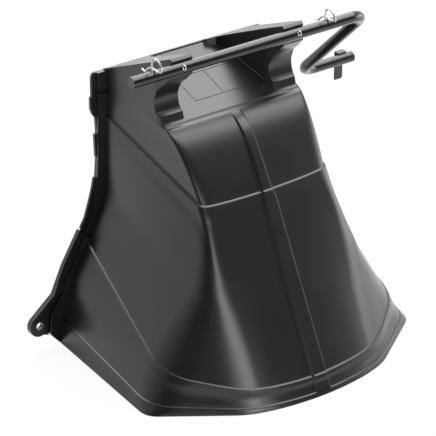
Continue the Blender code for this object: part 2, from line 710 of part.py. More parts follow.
def r_clip(name, station, top, where, finish):
    """An R-clip: one leg stands through the rod, the wire loops in front and springs over the top."""
    over = ROD_DIAMETER / 2 + CLIP_WIRE / 2 + PIN_GAP
    leg = [(0, 0, -over - 1.5), (0, 0, over), (0, 0, top - 7.5), (0.1, -1.2, top - 3), (0.3, -3.2, top - 0.8),
           (0.6, -6.0, top), (0.9, -9.5, top - 1.2), (1.3, -13.5, top - 4), (1.7, -16.8, top - 7.5),
           (2.0, -19.0, top - 11), (2.4, -19.0, top - 14), (2.7, -17.0, over + 1.4), (2.9, -13.0, over + 0.2),
           (3.0, -9.0, over - 0.4), (3.0, -5.5, over + 0.1)]
    spring = [(3.0, -2.0, over + 0.5), (3.0, 2.0, over + 0.6), (3.0, 6.0, over + 0.3), (3.0, 10.0, over - 0.9),
              (3.0, 13.5, over - 3.4), (3.0, 16.5, over - 6.6), (3.0, 19.0, over - 8.8),
              (3.0, 22.5, over - 9.2), (3.0, 27.0, over - 8.0)]
    sideways = CLIP_LEAD / 3.0
    hinge = Vector((station, -ROD_FORWARD, ROD_RISE))
    route = [hinge + Vector((x * sideways, y, z)) for x, y, z in leg + spring]
    clip = tube(name, route, CLIP_WIRE, where, 2)
    clip.data.materials.append(finish)
    return clip


def split_pin(name, station, where, finish):
    """A split pin: a round eye in front of the rod and two legs through rod and arm."""
    tilt = math.radians(PIN_TILT_DEG)
    upward = Vector((0, math.sin(tilt), math.cos(tilt)))
    backward = Vector((0, math.cos(tilt), -math.sin(tilt)))
    apart = (PIN_WIRE + PIN_GAP) / 2
    front = -ROD_DIAMETER / 2 - PIN_WIRE / 2
    points = [(PIN_LENGTH, apart + 1.6), (PIN_LENGTH - 5, apart), (front, apart)]
    eye = front - 0.8 * PIN_EYE_RADIUS
    for degrees in range(40, 321, 28):
        turn = math.radians(degrees)
        points.append((eye + PIN_EYE_RADIUS * math.cos(turn), PIN_EYE_RADIUS * math.sin(turn)))
    points += [(front, -apart), (PIN_LENGTH - 3, -apart), (PIN_LENGTH + 2, -apart - 1.6)]
    hinge = Vector((station, -ROD_FORWARD, ROD_RISE))
    route = [hinge + backward * along_axis + upward * across for along_axis, across in points]
    pin = tube(name, route, PIN_WIRE, where, 2)
    pin.data.materials.append(finish)
    return pin


def latch_plate(where, cutters, finish):
    """A bent plate: one leg lies on the rod's end, the other hangs behind it."""
    radius = ROD_DIAMETER / 2 + WELD_GAP
    axis_y = -ROD_FORWARD + CRANK_BACK
    axis_z = ROD_RISE - CRANK_DROP
    back = axis_y + radius
    top = axis_z + radius
    outer_bend = [(back + LATCH_THICK, top + 0.4 * LATCH_THICK), (back + 0.7 * LATCH_THICK, top + 0.8 * LATCH_THICK),
                  (back + 0.3 * LATCH_THICK, top + LATCH_THICK)]
    outline = [(back + LATCH_THICK - LATCH_TOP, top), (back, top), (back, axis_z - LATCH_DROP),
               (back + LATCH_THICK, axis_z - LATCH_DROP)] + outer_bend
    outline += [(back + LATCH_THICK - LATCH_TOP, top + LATCH_THICK)]
    end = CRANK_SIDE + CRANK_SPLAY + CRANK_REACH - LATCH_FROM_END + LATCH_WIDTH / 2
    start = end - LATCH_WIDTH
    made = plate("latch_plate", outline, start, end, "YZ", where)
    foot = axis_z - LATCH_DROP
    corner = [Vector((start, 0, foot)), Vector((end, 0, foot)), Vector((end, 0, foot + 80))]
    face = [(start, foot)] + [(p.x, p.z) for p in fillet(*corner, LATCH_CORNER, 6)]
    face += [(end, top + 2 * LATCH_THICK), (start, top + 2 * LATCH_THICK)]
    boolean(made, "INTERSECT", as_cutter(plate("latch_face", face, back - LATCH_TOP - 5, back + 10, "XZ", cutters)))
    made.data.materials.append(finish)
    return made


def main():
    for old in list(bpy.data.objects):
        bpy.data.objects.remove(old)
    part = collection("mower_deck_deflector")
    cutters = collection("cutters")
    plastic = material("black_moulded_plastic", (0.018, 0.018, 0.019), 0.42, 0.0)
    paint = material("black_painted_steel", (0.012, 0.012, 0.013), 0.22, 0.0)
    zinc = material("zinc_plated_wire", (0.72, 0.73, 0.74), 0.28, 1.0)
    hood(part, cutters, plastic)
    hinge_rod(part, cutters, paint)
    latch_plate(part, cutters, paint)
    r_clip("r_clip_left", -CLIP_LEFT, CLIP_LEFT_TOP, part, zinc)
    r_clip("r_clip_right", CLIP_RIGHT, CLIP_RIGHT_TOP, part, zinc)
    split_pin("split_pin_left", -PIN_LEFT, part, zinc)
    split_pin("split_pin_right", PIN_RIGHT, part, zinc)


main()
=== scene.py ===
import math

import bmesh
import bpy
from mathutils import Matrix, Vector


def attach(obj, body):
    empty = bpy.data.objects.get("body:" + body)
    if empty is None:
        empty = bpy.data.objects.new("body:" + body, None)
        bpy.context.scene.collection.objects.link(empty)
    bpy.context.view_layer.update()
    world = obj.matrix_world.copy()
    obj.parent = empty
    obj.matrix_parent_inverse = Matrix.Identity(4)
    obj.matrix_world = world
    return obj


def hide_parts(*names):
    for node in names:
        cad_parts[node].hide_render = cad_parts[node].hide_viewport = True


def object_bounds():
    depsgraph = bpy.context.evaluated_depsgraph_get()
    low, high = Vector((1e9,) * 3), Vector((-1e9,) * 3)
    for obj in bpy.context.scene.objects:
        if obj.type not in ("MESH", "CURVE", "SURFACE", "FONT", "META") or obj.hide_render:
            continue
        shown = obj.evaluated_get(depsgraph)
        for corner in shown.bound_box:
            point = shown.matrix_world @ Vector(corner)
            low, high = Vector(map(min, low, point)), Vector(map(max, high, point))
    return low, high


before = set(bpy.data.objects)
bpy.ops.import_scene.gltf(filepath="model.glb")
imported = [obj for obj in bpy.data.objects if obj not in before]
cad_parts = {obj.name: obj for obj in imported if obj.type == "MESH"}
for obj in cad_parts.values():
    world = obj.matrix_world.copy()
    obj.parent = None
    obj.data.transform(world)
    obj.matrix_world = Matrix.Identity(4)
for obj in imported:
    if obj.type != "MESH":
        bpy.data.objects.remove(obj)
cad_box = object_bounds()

bpy.ops.object.select_all(action="DESELECT")

# Camera and setting. The deflector stands on the rim of its mouth on a pale seamless table,
# seen from the front left and above with a long lens, as the product photograph shows it.
camera_data = bpy.data.cameras.new("camera")
camera = bpy.data.objects.new("camera", camera_data)
bpy.context.scene.collection.objects.link(camera)
bpy.context.scene.camera = camera
camera_data.sensor_width = 36.0
FRAME_PIXELS = 436.0
FOCAL_PIXELS = 2660.0
PIXEL_SIZE = 0.004 / 3.0     # metres on one pixel of the frame, at the rod's middle
camera_data.lens = camera_data.sensor_width * FOCAL_PIXELS / FRAME_PIXELS
camera_data.clip_end = 50.0
azimuth = math.radians(-36.5)
elevation = math.radians(27.2)
forward = Vector((-math.sin(azimuth) * math.cos(elevation), math.cos(azimuth) * math.cos(elevation),
                  -math.sin(elevation)))
right = Vector((math.cos(azimuth), math.sin(azimuth), 0.0))
upward = right.cross(forward)
rod_middle = Vector((0.0, -0.1453, 0.046))
rod_column, rod_row = 240.0, 50.7
distance = FOCAL_PIXELS * PIXEL_SIZE
camera.location = (rod_middle - forward * distance
                   - right * (rod_column - FRAME_PIXELS / 2) / FOCAL_PIXELS * distance
                   + upward * (rod_row - FRAME_PIXELS / 2) / FOCAL_PIXELS * distance)
camera.rotation_euler = (math.pi / 2 - elevation, 0.0, azimuth)


def srgb(code):
    """A hex colour as the linear value that a shader takes."""
    parts = [int(code[i:i + 2], 16) / 255.0 for i in (1, 3, 5)]
    return (*[c / 12.92 if c <= 0.04045 else ((c + 0.055) / 1.055) ** 2.4 for c in parts], 1.0)


def node(tree, kind, links=None, **settings):
    """Adds one shader node with its settings, input values and links."""
    made = tree.nodes.new(kind)
    for name, value in settings.items():
        if hasattr(made, name):
            setattr(made, name, value)
        else:
            made.inputs[name.replace("_", " ")].default_value = value
    for name, source in (links or {}).items():
        tree.links.new(source, made.inputs[name])
    return made


# The world is a soft dome, dim towards the front and bright behind, and plain white to the camera.
world = bpy.data.worlds.new("studio")
bpy.context.scene.world = world
world.use_nodes = True
sky = world.node_tree
sky.nodes.clear()
rays = node(sky, "ShaderNodeLightPath")
sight = node(sky, "ShaderNodeTexCoord").outputs["Generated"]
ahead = node(sky, "ShaderNodeVectorMath", {0: sight}, operation="DOT_PRODUCT")
ahead.inputs[1].default_value = (-0.31, -0.95, 0.1)
level = node(sky, "ShaderNodeMapRange", {"Value": ahead.outputs["Value"]}, From_Min=-0.3, From_Max=0.6,
             To_Min=1.3, To_Max=0.10)
dim = node(sky, "ShaderNodeBackground", {"Strength": level.outputs["Result"]}, Color=(1, 1, 1, 1))
white = node(sky, "ShaderNodeBackground", Color=(1, 1, 1, 1), Strength=1.0)
mix = node(sky, "ShaderNodeMixShader", {0: rays.outputs["Is Camera Ray"], 1: dim.outputs[0],
                                        2: white.outputs[0]})
node(sky, "ShaderNodeOutputWorld", {"Surface": mix.outputs[0]})

# The table is matt white paper that keeps the object's shadow; it is lifted towards white for
# the camera, and a little for mirrored rays.
FLOOR_GAP = 0.0005
CAMERA_GLOW = 0.9
MIRROR_GLOW = 0.3
bpy.ops.mesh.primitive_plane_add(size=6.0, location=(0.0, 0.0, cad_box[0][2] - FLOOR_GAP))
floor = bpy.context.object
floor.name = "table"
paper = bpy.data.materials.new("white_paper_sweep")
paper.use_nodes = True
tree = paper.node_tree
tree.nodes.clear()
diffuse = node(tree, "ShaderNodeBsdfDiffuse", Color=srgb("#e6e6e6"))
glow = node(tree, "ShaderNodeEmission", Color=(1, 1, 1, 1), Strength=1.0)
rays = node(tree, "ShaderNodeLightPath")
camera_share = node(tree, "ShaderNodeMath", {0: rays.outputs["Is Camera Ray"]}, operation="MULTIPLY")
camera_share.inputs[1].default_value = CAMERA_GLOW
mirrored = node(tree, "ShaderNodeMath", {0: rays.outputs["Is Glossy Ray"],
                                         1: rays.outputs["Is Transmission Ray"]}, operation="MAXIMUM")
seen = node(tree, "ShaderNodeMath", {0: mirrored.outputs[0], 2: camera_share.outputs[0]},
            operation="MULTIPLY_ADD")
seen.inputs[1].default_value = MIRROR_GLOW
mix = node(tree, "ShaderNodeMixShader", {0: seen.outputs[0], 1: diffuse.outputs[0],
                                         2: glow.outputs[0]})
node(tree, "ShaderNodeOutputMaterial", {"Surface": mix.outputs[0]})
floor.data.materials.append(paper)


def softbox(name, place, aim, size, power):
    """A rectangular studio lamp turned towards a point."""
    data = bpy.data.lights.new(name, "AREA")
    data.shape = "RECTANGLE"
    data.size, data.size_y = size
    data.energy = power
    lamp = bpy.data.objects.new(name, data)
    lamp.location = place
    lamp.rotation_euler = (Vector(aim) - Vector(place)).to_track_quat("-Z", "Y").to_euler()
    bpy.context.scene.collection.objects.link(lamp)


softbox("overhead", (0.85, -0.1, 1.7), (0.0, -0.1, -0.1), (2.2, 1.6), 60.0)
softbox("right_side", (1.95, -0.75, 0.15), (0.0, -0.2, -0.2), (1.5, 1.0), 21.0)
softbox("front_strip", (-0.25, -2.2, 0.1), (0.0, -0.2, -0.2), (0.75, 0.95), 16.0)
softbox("rear_left", (-1.0, 1.2, 1.5), (0.0, -0.1, -0.1), (1.2, 1.0), 18.0)
softbox("rear_right", (1.2, 1.55, 1.15), (0.0, -0.1, -0.05), (1.1, 0.7), 14.0)

# Hood. One injection moulding in black polypropylene with a satin, finely grained face. Its
# stepped walls, hollow arms, flanges, bands and ears all come out of the same tool. Its sizes
# are in millimetres, and every corner carries the small radius that the tool leaves.
MM = 0.001
WALL = 3.5                  # thickness of the moulded wall
LEDGE = 3.0                 # each lower stretch of the hood stands out by this much
LIP_HEIGHT = 8.5            # thicker band round the mouth
LIP_SWELL = 2.4
SKIRT_HOLLOW = 1.5          # the skirt draws in by this much above the lip
SKIRT_HOLLOW_END = 0.76     # share of the skirt's height at which it stands out again
DECK_EDGE = 2.0             # rounding of the deck's side edges
CREASE_REACH = 4.5          # the groove across the deck's fold, to one side of its middle
CREASE_DEPTH = 1.2

# Hood, given as half widths, distances ahead of the rear face and drops below the rim
RIM_HALF = 124.0            # rear edge of the hood at the rim
DECK_HALF = 114.5           # front fold of the deck
DECK_DEPTH = 130.7
DECK_FALL = 43.3
BROW_ENTRY_DEG = 20.0       # slope of the brow just after the fold
FACE_LEAN_DEG = 63.4        # slope of the front face
UPPER_LEDGE_HALF = 105.0    # front corner of the upper ledge
UPPER_LEDGE_DEPTH = 202.0
UPPER_LEDGE_DROP = 133.3
UPPER_LEDGE_REAR_DROP = 60.4
LOWER_LEDGE_HALF = 112.7    # front corner of the lower ledge
LOWER_LEDGE_DEPTH = 308.7
LOWER_LEDGE_DROP = 360.0
LOWER_LEDGE_REAR_HALF = 154.7
LOWER_LEDGE_REAR_DROP = 245.0
SHOULDER_HALF = 194.7       # side corner of the lower ledge
SHOULDER_DEPTH = 241.3
SHOULDER_DROP = 339.3
SKIRT_HEIGHT = 33.3         # from the front corner of the lower ledge down to the level mouth
MOUTH_DROP = LOWER_LEDGE_DROP + SKIRT_HEIGHT
MOUTH_FRONT_HALF = 114.7    # the mouth is measured outside its lip
MOUTH_FRONT_DEPTH = 324.4
MOUTH_SIDE_HALF = 230.0
MOUTH_SIDE_DEPTH = 244.0
MOUTH_REAR_HALF = 210.7
FRONT_BOW = 17.0            # the front edge of the mouth bulges by this much
HIP_HALF = 190.5            # rear edge between the lower ledge and the mouth
HIP_ABOVE_MOUTH = 88.3
HIP_DROP = MOUTH_DROP - HIP_ABOVE_MOUTH
FLARE_HALF = 126.5          # rear edge where it starts to flare
FLARE_DROP = 163.0
BROW_START = 0.075          # cross-sections: where the crease ends on the brow
CHAMFER_START = 1.1         # where the chamfer between front and cheek opens
CHAMFER_SHARE = 0.08        # its start beside the front corner, as a share of the cheek

# Stiffening strip down the middle of the front
STRIP_HALF_TOP = 6.5        # half width of its flat above the upper ledge
STRIP_HALF_MIDDLE = 8.8     # and just below it
STRIP_HALF_MOUTH = 10.6
STRIP_RAISE = 3.3
STRIP_EDGE = 2.6            # run of its sloped edges
GATE_RADIUS = 3.4           # shallow dimple on the strip
GATE_DROP = 169.0
GATE_DEPTH = 1.6
GATE_STATION = 1.158        # the cross-section it lies on

# Mounting flange, its raised band and its ear; outlines are half width and drop pairs
FLANGE_THICK = 4.0
FLANGE_PROUD = 3.0          # the flange stands out by this much more below the lower ledge
BAND_PROUD = 4.0            # the band stands this far out of the flange
BAND_ROUND = 1.3
FRAME_DEPTH = 8.8           # ear strip, from the rear face
RIB_DEPTH = 9.7             # ear rib, from the rear face
WEB_DEPTH = 3.2             # floor of the pocket between them
FLANGE_TOP = 0.6            # the flange and the rim end this far above the deck's rear edge
UPPER_FLANGE = [(139.5, -0.3), (143.0, 1.6), (145.0, 7.5), (145.0, 34.6), (147.4, 35.6),
                (147.5, 52.0), (145.0, 60.5), (139.8, 67.9), (138.4, 91.0), (142.2, 92.6),
                (141.0, 125.2), (136.8, 133.2), (137.7, 155.6), (144.8, 157.4), (147.0, 168.7),
                (151.8, 186.6), (160.9, 214.3), (168.6, 227.2), (167.0, 234.0)]
UPPER_BAND = [(137.0, -0.15), (137.5, 28.0), (139.7, 129.0), (142.7, 167.0), (151.3, 208.4),
              (163.9, 235.0)]
LOWER_FLANGE = [(172.2, 228.6), (199.9, 274.8), (214.0, 305.0)]
LOWER_BAND = [(165.4, 238.6), (176.4, 256.4), (194.4, 290.0), (197.5, 296.5)]
EAR_STRIP = [(188.0, 297.5), (211.0, 298.8), (218.5, 315.4)]
POCKET = [(193.0, 304.5), (228.2, 332.0), (234.6, 346.6), (233.2, 366.0), (228.0, 379.0)]
EAR_RIB = [(193.6, 300.0), (224.6, 346.0), (226.6, 372.0), (225.0, 377.0)]
EAR_HALF = 243.2            # ear hole centre
EAR_DROP = 356.5
EAR_RADIUS = 16.0
EAR_HOLE_DIAMETER = 12.0
EAR_FOOT = [(228.6, 374.8), (224.2, 377.7), (212.7, 391.0)]
NOTCH_DROP = 29.4           # slit across the band, at its upper edge
NOTCH_HEIGHT = 2.0
RIM_BAR_HALF = 47.0
RIM_BAR_THICK = 3.0
RIM_BAR_HEIGHT = 9.0
REAR_STOCK = 2.0            # excess behind the rear face, trimmed off in one cut
TRIM_MARGIN = 60.0          # the trimming cut reaches this far past the hood
ROD_DIAMETER = 16.0
ROD_FORWARD = 145.3         # hinge axis ahead of the rear face
ROD_RISE = 46.0             # hinge axis above the rim
ARM_INNER = 76.0
ARM_OUTER_TIP = 109.0
ARM_OUTER_STEP = 0.12       # the arm's outer side lies this far inside the cheek
ARM_ROOT_INNER = 43.0
ARM_NOSE_BEHIND = 2.6       # the arm's nose lies this far behind the hinge axis
ARM_CREST = 13.7            # arm crest above the hinge axis
ARM_CHIN = 15.5             # arm chin below the hinge axis
ARM_CHEST = 113.0           # the arm narrows from here forwards
THROAT = [(137.7, 28.4), (131.3, 21.7), (116.0, 8.3), (110.6, -3.7), (109.2, -9.0),
          (110.6, -19.0), (114.5, -27.0), (119.8, -30.4)]
ARM_BURY = 8.0              # the arm's foot runs this far down into the hood
ARM_WALL = 5.0              # the arms' own walls
ARM_STOCK = (30.0, 135.0)   # an arm is cut from a block between these widths
ARM_EDGE_ROUND = 3.6
SEAT_CLEARANCE = 0.4
SEAT_BACKING = 11.0         # solid plastic behind the seat
SEAT_OVERRUN = 20.0         # the seat's cut reaches this far past the rim

# Stations and holes of the split pins, for which the arms and the rod are bored
PIN_LEFT = 99.5
PIN_RIGHT = 92.0
PIN_TILT_DEG = 26.0         # the eye stands higher than the tips
PIN_WIRE = 2.0
PIN_GAP = 0.3               # between its two legs
PIN_CLEARANCE = 0.35
PIN_LENGTH = 29.0           # leg length behind the hinge axis

# The two plain framed fields on the deck, and the low raised lines round them
FIELD_LEFT = -40.0
FIELD_MIDDLE = 7.3
FIELD_RIGHT = 52.5
FIELD_FRONT = -100.0
FIELD_REAR = -52.0
RIB_HALF = 0.7
RIB_RISE = 0.6
RIB_DRAFT = 0.15
RIB_ROOT_SIDE = 1.6         # the lines run down into the deck by this much; the two
RIB_ROOT_END = 1.0          # differ, so that no two tops lie in one plane
BEAD = 3.4                  # rounded root where the deck meets the arms' inner sides


def smooth(stops, t):
    """Reads a value off a soft curve through (t, value) stops."""
    if t <= stops[0][0]:
        return stops[0][1]
    if t >= stops[-1][0]:
        return stops[-1][1]
    slopes = [(b[1] - a[1]) / (b[0] - a[0]) for a, b in zip(stops, stops[1:])]
    k = next(i for i in range(len(slopes)) if t <= stops[i + 1][0])

    def tangent(i):
        if i in (0, len(slopes)):
            return slopes[min(i, len(slopes) - 1)]
        before, after = slopes[i - 1], slopes[i]
        return 0.0 if before * after <= 0 else 2 * before * after / (before + after)

    (t0, v0), (t1, v1) = stops[k], stops[k + 1]
    run = t1 - t0
    u = (t - t0) / run
    return ((2 * u ** 3 - 3 * u * u + 1) * v0 + (u ** 3 - 2 * u * u + u) * run * tangent(k)
            + (3 * u * u - 2 * u ** 3) * v1 + (u ** 3 - u * u) * run * tangent(k + 1))


def lerp(a, b, t):
    return a + (b - a) * t


def quadratic(a, b, c, t):
    return a * (1 - t) ** 2 + b * 2 * t * (1 - t) + c * t ** 2


def fillet(before, vertex, after, setback, count):
    """Rounds a corner with a parabola that starts and ends setback away from it."""
    to_before = before - vertex
    to_after = after - vertex
    a = vertex + to_before.normalized() * min(setback, 0.45 * to_before.length)
    b = vertex + to_after.normalized() * min(setback, 0.45 * to_after.length)
    return [quadratic(a, vertex, b, i / (count - 1)) for i in range(count)]


def deck_height(y):
    return y * DECK_FALL / DECK_DEPTH


def brow_control():
    """Where the brow's two end tangents meet, as distance ahead and drop."""
    entry = math.radians(BROW_ENTRY_DEG)
    lean = math.radians(FACE_LEAN_DEG)
    run = UPPER_LEDGE_DEPTH - DECK_DEPTH
    fall = UPPER_LEDGE_DROP - DECK_FALL
    reach = (run * math.tan(lean) - fall) / (math.tan(lean) - math.tan(entry))
    return DECK_DEPTH + reach, DECK_FALL + reach * math.tan(entry)


# A cross-section is named by s: 0 at the deck's fold, 1 at the upper ledge, 2 at the lower
# ledge and 3 at the mouth.


def front_corner(s):
    if s <= 1:
        ahead, drop = brow_control()
        depth = quadratic(DECK_DEPTH, ahead, UPPER_LEDGE_DEPTH, s)
        fall = quadratic(DECK_FALL, drop, UPPER_LEDGE_DROP, s)
        return Vector((lerp(DECK_HALF, UPPER_LEDGE_HALF, s), -depth, -fall))
    upper = Vector((UPPER_LEDGE_HALF, -UPPER_LEDGE_DEPTH, -UPPER_LEDGE_DROP))
    lower = Vector((LOWER_LEDGE_HALF, -LOWER_LEDGE_DEPTH, -LOWER_LEDGE_DROP))
    mouth = Vector((MOUTH_FRONT_HALF, -MOUTH_FRONT_DEPTH, -MOUTH_DROP))
    return upper.lerp(lower, s - 1) if s <= 2 else lower.lerp(mouth, s - 2)


def rear_drop(s):
    return smooth([(0, 0.0), (1, UPPER_LEDGE_REAR_DROP), (2, LOWER_LEDGE_REAR_DROP),
                  (2.4, HIP_DROP), (3, MOUTH_DROP)], s)


def front_middle(s):
    corner = front_corner(s)
    bow = smooth([(0, 0.0), (1, 0.18 * FRONT_BOW), (2, 0.8 * FRONT_BOW), (3, FRONT_BOW)], s)
    sag = smooth([(0, 0.0), (1, LEDGE), (2, 2 * LEDGE), (3, 0.0)], s)
    return Vector((0, corner.y - bow, corner.z - sag))


def rear_half(drop):
    return smooth([(0, RIM_HALF), (0.6 * FLARE_DROP, lerp(RIM_HALF, FLARE_HALF, 0.6)),
                   (FLARE_DROP, FLARE_HALF), (LOWER_LEDGE_REAR_DROP, LOWER_LEDGE_REAR_HALF),
                   (HIP_DROP, HIP_HALF), (MOUTH_DROP, MOUTH_REAR_HALF)], drop)


def rear_corner(s):
    drop = rear_drop(s)
    return Vector((rear_half(drop), 0, -drop))


def side_corner(s):
    """The edge between cheek and chamfer, which starts close beside the front corner."""
    if s <= CHAMFER_START:
        return front_corner(s).lerp(rear_corner(s), CHAMFER_SHARE)
    shoulder = Vector((SHOULDER_HALF, -SHOULDER_DEPTH, -SHOULDER_DROP))
    mouth = Vector((MOUTH_SIDE_HALF, -MOUTH_SIDE_DEPTH, -MOUTH_DROP))
    if s > 2:
        return shoulder.lerp(mouth, s - 2)
    apex = front_corner(CHAMFER_START).lerp(rear_corner(CHAMFER_START), CHAMFER_SHARE)
    t = (s - CHAMFER_START) / (2 - CHAMFER_START)
    spread = smooth([(0, 0.0), (0.244, 0.1), (0.51, 0.31), (0.71, 0.58), (1, 1.0)], t)
    ahead = smooth([(0, 0.0), (0.1, 0.3), (0.244, 0.62), (0.51, 0.95), (1, 1.0)], t)
    return Vector((lerp(apex.x, shoulder.x, spread), lerp(apex.y, shoulder.y, ahead),
                   lerp(apex.z, shoulder.z, t)))


def strip_half(s):
    return smooth([(0, STRIP_HALF_TOP), (0.95, STRIP_HALF_TOP), (1.05, STRIP_HALF_MIDDLE),
                   (3, STRIP_HALF_MOUTH)], s)


def half_section(s, strip, fine=True):
    """One cross-section from its right rear edge round to the middle of the front."""
    rear = rear_corner(s)
    side = side_corner(s)
    corner = front_corner(s)
    middle = front_middle(s)

    def front(x):
        share = (x / corner.x) ** 2
        return Vector((x, lerp(middle.y, corner.y, share), lerp(middle.z, corner.z, share)))

    side_set = smooth([(0, 4.0), (1, 6.0), (1.25, 12.0), (1.5, 20.0), (2, 40.0), (2.7, 36.0),
                       (3, 18.0)], s)
    corner_set = smooth([(0, 6.0), (0.5, 16.0), (1, 18.0), (1.2, 10.0), (1.5, 16.0), (2, 44.0),
                         (2.7, 42.0), (3, 22.0)], s)
    side_round = fillet(rear, side, corner, side_set, 10 if fine else 4)
    corner_round = fillet(side, corner, front(0.55 * corner.x), corner_set, 12 if fine else 5)
    if not fine:
        points = [rear.lerp(side_round[0], i / 5) for i in range(5)] + side_round
        points += [side_round[-1].lerp(corner_round[0], i / 3) for i in (1, 2)] + corner_round
        return points + [front(share * corner.x) for share in (0.6, 0.45, 0.3, 0.15, 0.0)]
    points = [rear.lerp(side_round[0], i / 10) for i in range(10)] + side_round
    points += [side_round[-1].lerp(corner_round[0], i / 5) for i in range(1, 5)] + corner_round
    half = strip_half(s)
    foot = half + 1.05 * STRIP_EDGE
    inner = corner_round[-1].x
    points += [front(lerp(inner, foot, i / 7)) for i in range(1, 8)]
    raised = strip * STRIP_RAISE * Vector((0, -0.9, 0.43))
    for share in (0.12, 0.3, 0.5, 0.7, 0.88, 1.0):
        lift = share * share * (3 - 2 * share)
        points.append(front(lerp(foot, half - 0.05 * STRIP_EDGE, share)) + raised * lift)
    points += [front(0.5 * half) + raised, front(0.0) + raised]
    return points


def whole_section(half):
    """Mirrors a half section, keeping its middle point once."""
    left = [Vector((-p.x, p.y, p.z)) for p in half]
    return left + half[-2::-1]


def plan_normals(points):
    """Outward horizontal normals of a section; the rear ends face straight sideways."""
    normals = []
    for i, point in enumerate(points):
        if i == 0 or i == len(points) - 1:
            normals.append(Vector((1, 0, 0)) if point.x > 0 else Vector((-1, 0, 0)))
            continue
        run = points[i + 1] - points[i - 1]
        normals.append(Vector((run.y, -run.x, 0)).normalized())
    return normals


def deck_ring(inset):
    """The deck's outline, rolled down softly; inset moves it in from its sides and the fold."""
    out = 1 - inset
    roll = CREASE_DEPTH * out * out * (3 - 2 * out)
    narrow = 1 - DECK_EDGE * inset / RIM_HALF
    short = 1 - CREASE_REACH * inset / DECK_DEPTH
    moved = []
    for point in whole_section(half_section(0, 0.0)):
        new = Vector((point.x * narrow, point.y * short, 0))
        moved.append(Vector((new.x, new.y, deck_height(new.y) - roll)))
    for i in (0, -1):
        moved[i] = Vector((moved[i].x, REAR_STOCK, deck_height(REAR_STOCK) - roll))
    return moved


def skirt_swell(s):
    """How far the skirt stands out of its guide lines; it draws in a little above the lip."""
    u = s - 2
    hollow = SKIRT_HOLLOW * math.sin(math.pi * min(1.0, u / SKIRT_HOLLOW_END)) ** 2
    return lerp(2 * LEDGE, -LIP_SWELL, u) - hollow


def outer_section(s, swell, strip, drop=0.0):
    """The outside at s, moved out by swell and down by drop; strip is the strip's share."""
    points = whole_section(half_section(s, strip))
    normals = plan_normals(whole_section(half_section(s, 0.0)))
    moved = []
    for point, normal in zip(points, normals):
        moved.append(point + normal * swell - Vector((0, 0, drop)))
    moved[0].y = REAR_STOCK
    moved[-1].y = REAR_STOCK
    return moved


def inner_section(s, swell):
    """The inside face: the outside one moved inwards by the wall."""
    points = whole_section(half_section(s, 0.0, fine=False))
    slope = math.radians(smooth([(0, BROW_ENTRY_DEG), (1, FACE_LEAN_DEG), (3, FACE_LEAN_DEG)], s))
    moved = []
    for point, normal in zip(points, plan_normals(points)):
        facing = abs(normal.y)
        inward = WALL * lerp(1.0, math.sin(slope), facing) - swell
        down = WALL * math.cos(slope) * facing
        new = point - normal * inward - Vector((0, 0, down))
        if s == 0:
            new.z = deck_height(new.y) - WALL
        moved.append(new)
    moved[0].y = 2 * REAR_STOCK
    moved[-1].y = 2 * REAR_STOCK
    if s == 0:
        moved[0].z = deck_height(2 * REAR_STOCK) - WALL
        moved[-1].z = deck_height(2 * REAR_STOCK) - WALL
    return moved


def solid(name, bm):
    """Puts a mesh in the scene with its faces turned outwards."""
    bmesh.ops.recalc_face_normals(bm, faces=bm.faces[:])
    mesh = bpy.data.meshes.new(name)
    bm.to_mesh(mesh)
    bm.free()
    made = bpy.data.objects.new(name, mesh)
    bpy.context.scene.collection.objects.link(made)
    return made


def loft(name, sections):
    """Skins a stack of open sections and closes its top, bottom and rear with flat faces."""
    bm = bmesh.new()
    rows = [[bm.verts.new(p * MM) for p in section] for section in sections]
    for upper, lower in zip(rows, rows[1:]):
        for i in range(len(upper) - 1):
            bm.faces.new((upper[i], upper[i + 1], lower[i + 1], lower[i]))
    bm.faces.new(rows[0])
    bm.faces.new(rows[-1])
    bm.faces.new([row[0] for row in rows] + [row[-1] for row in reversed(rows)])
    return solid(name, bm)


def stepped(s, paths, strip):
    """Rings of a step: each (swell, drop) pair rounds its root, its ledge or its edge."""
    return [outer_section(s, swell, strip, drop) for swell, drop in paths]


def hood_outside():
    """The outside, from the deck's edge over the brow and the two steps down to the lip."""
    ledge = [(0.05, 0.06), (0.25, 0.2), (1.2, 0.75), (2.3, 1.4), (2.7, 1.7), (2.9, 2.1), (2.98, 2.7)]
    sections = [deck_ring(inset) for inset in (1.0, 0.8, 0.55, 0.3, 0.12, 0.0)]
    for share in (0.15, 0.35, 0.6, 0.85):
        low = CREASE_DEPTH * (1 - share * share * (3 - 2 * share))
        sections.append(outer_section(BROW_START * share, 0.0, 0.0, low))
    for i in range(31):
        s = BROW_START + (1 - BROW_START) * i / 30
        strip = smooth([(0.07, 0.0), (0.2, 0.5), (0.42, 1.0), (3, 1.0)], s)
        sections.append(outer_section(s, 0.0, strip))
    sections += stepped(1, ledge, 1.0)
    for i in range(1, 31):
        sections.append(outer_section(1.012 + 0.988 * i / 30, LEDGE, 1.0))
    below = skirt_swell(2) - LEDGE
    sections += stepped(2, [(LEDGE + swell * below / LEDGE, drop) for swell, drop in ledge], 1.0)
    lip_start = 3 - LIP_HEIGHT / SKIRT_HEIGHT
    for i in range(1, 11):
        s = lerp(2.1, lip_start, i / 10)
        sections.append(outer_section(s, skirt_swell(s), 1.0))
    lip = [(0.12, 0.08), (1.0, 0.55), (1.85, 1.05), (2.25, 1.5), (LIP_SWELL, 2.1)]
    start = skirt_swell(lip_start)
    sections += stepped(lip_start, [(start + swell, drop) for swell, drop in lip[:2]], 0.5)
    sections += stepped(lip_start, [(start + swell, drop) for swell, drop in lip[2:]], 0.0)
    for s, tuck in ((2.9, 0.0), (2.96, 0.0), (2.99, 0.3), (3.0, 0.9)):
        sections.append(outer_section(s, skirt_swell(s) + LIP_SWELL - tuck, 0.0))
    return loft("hood_outside", sections)


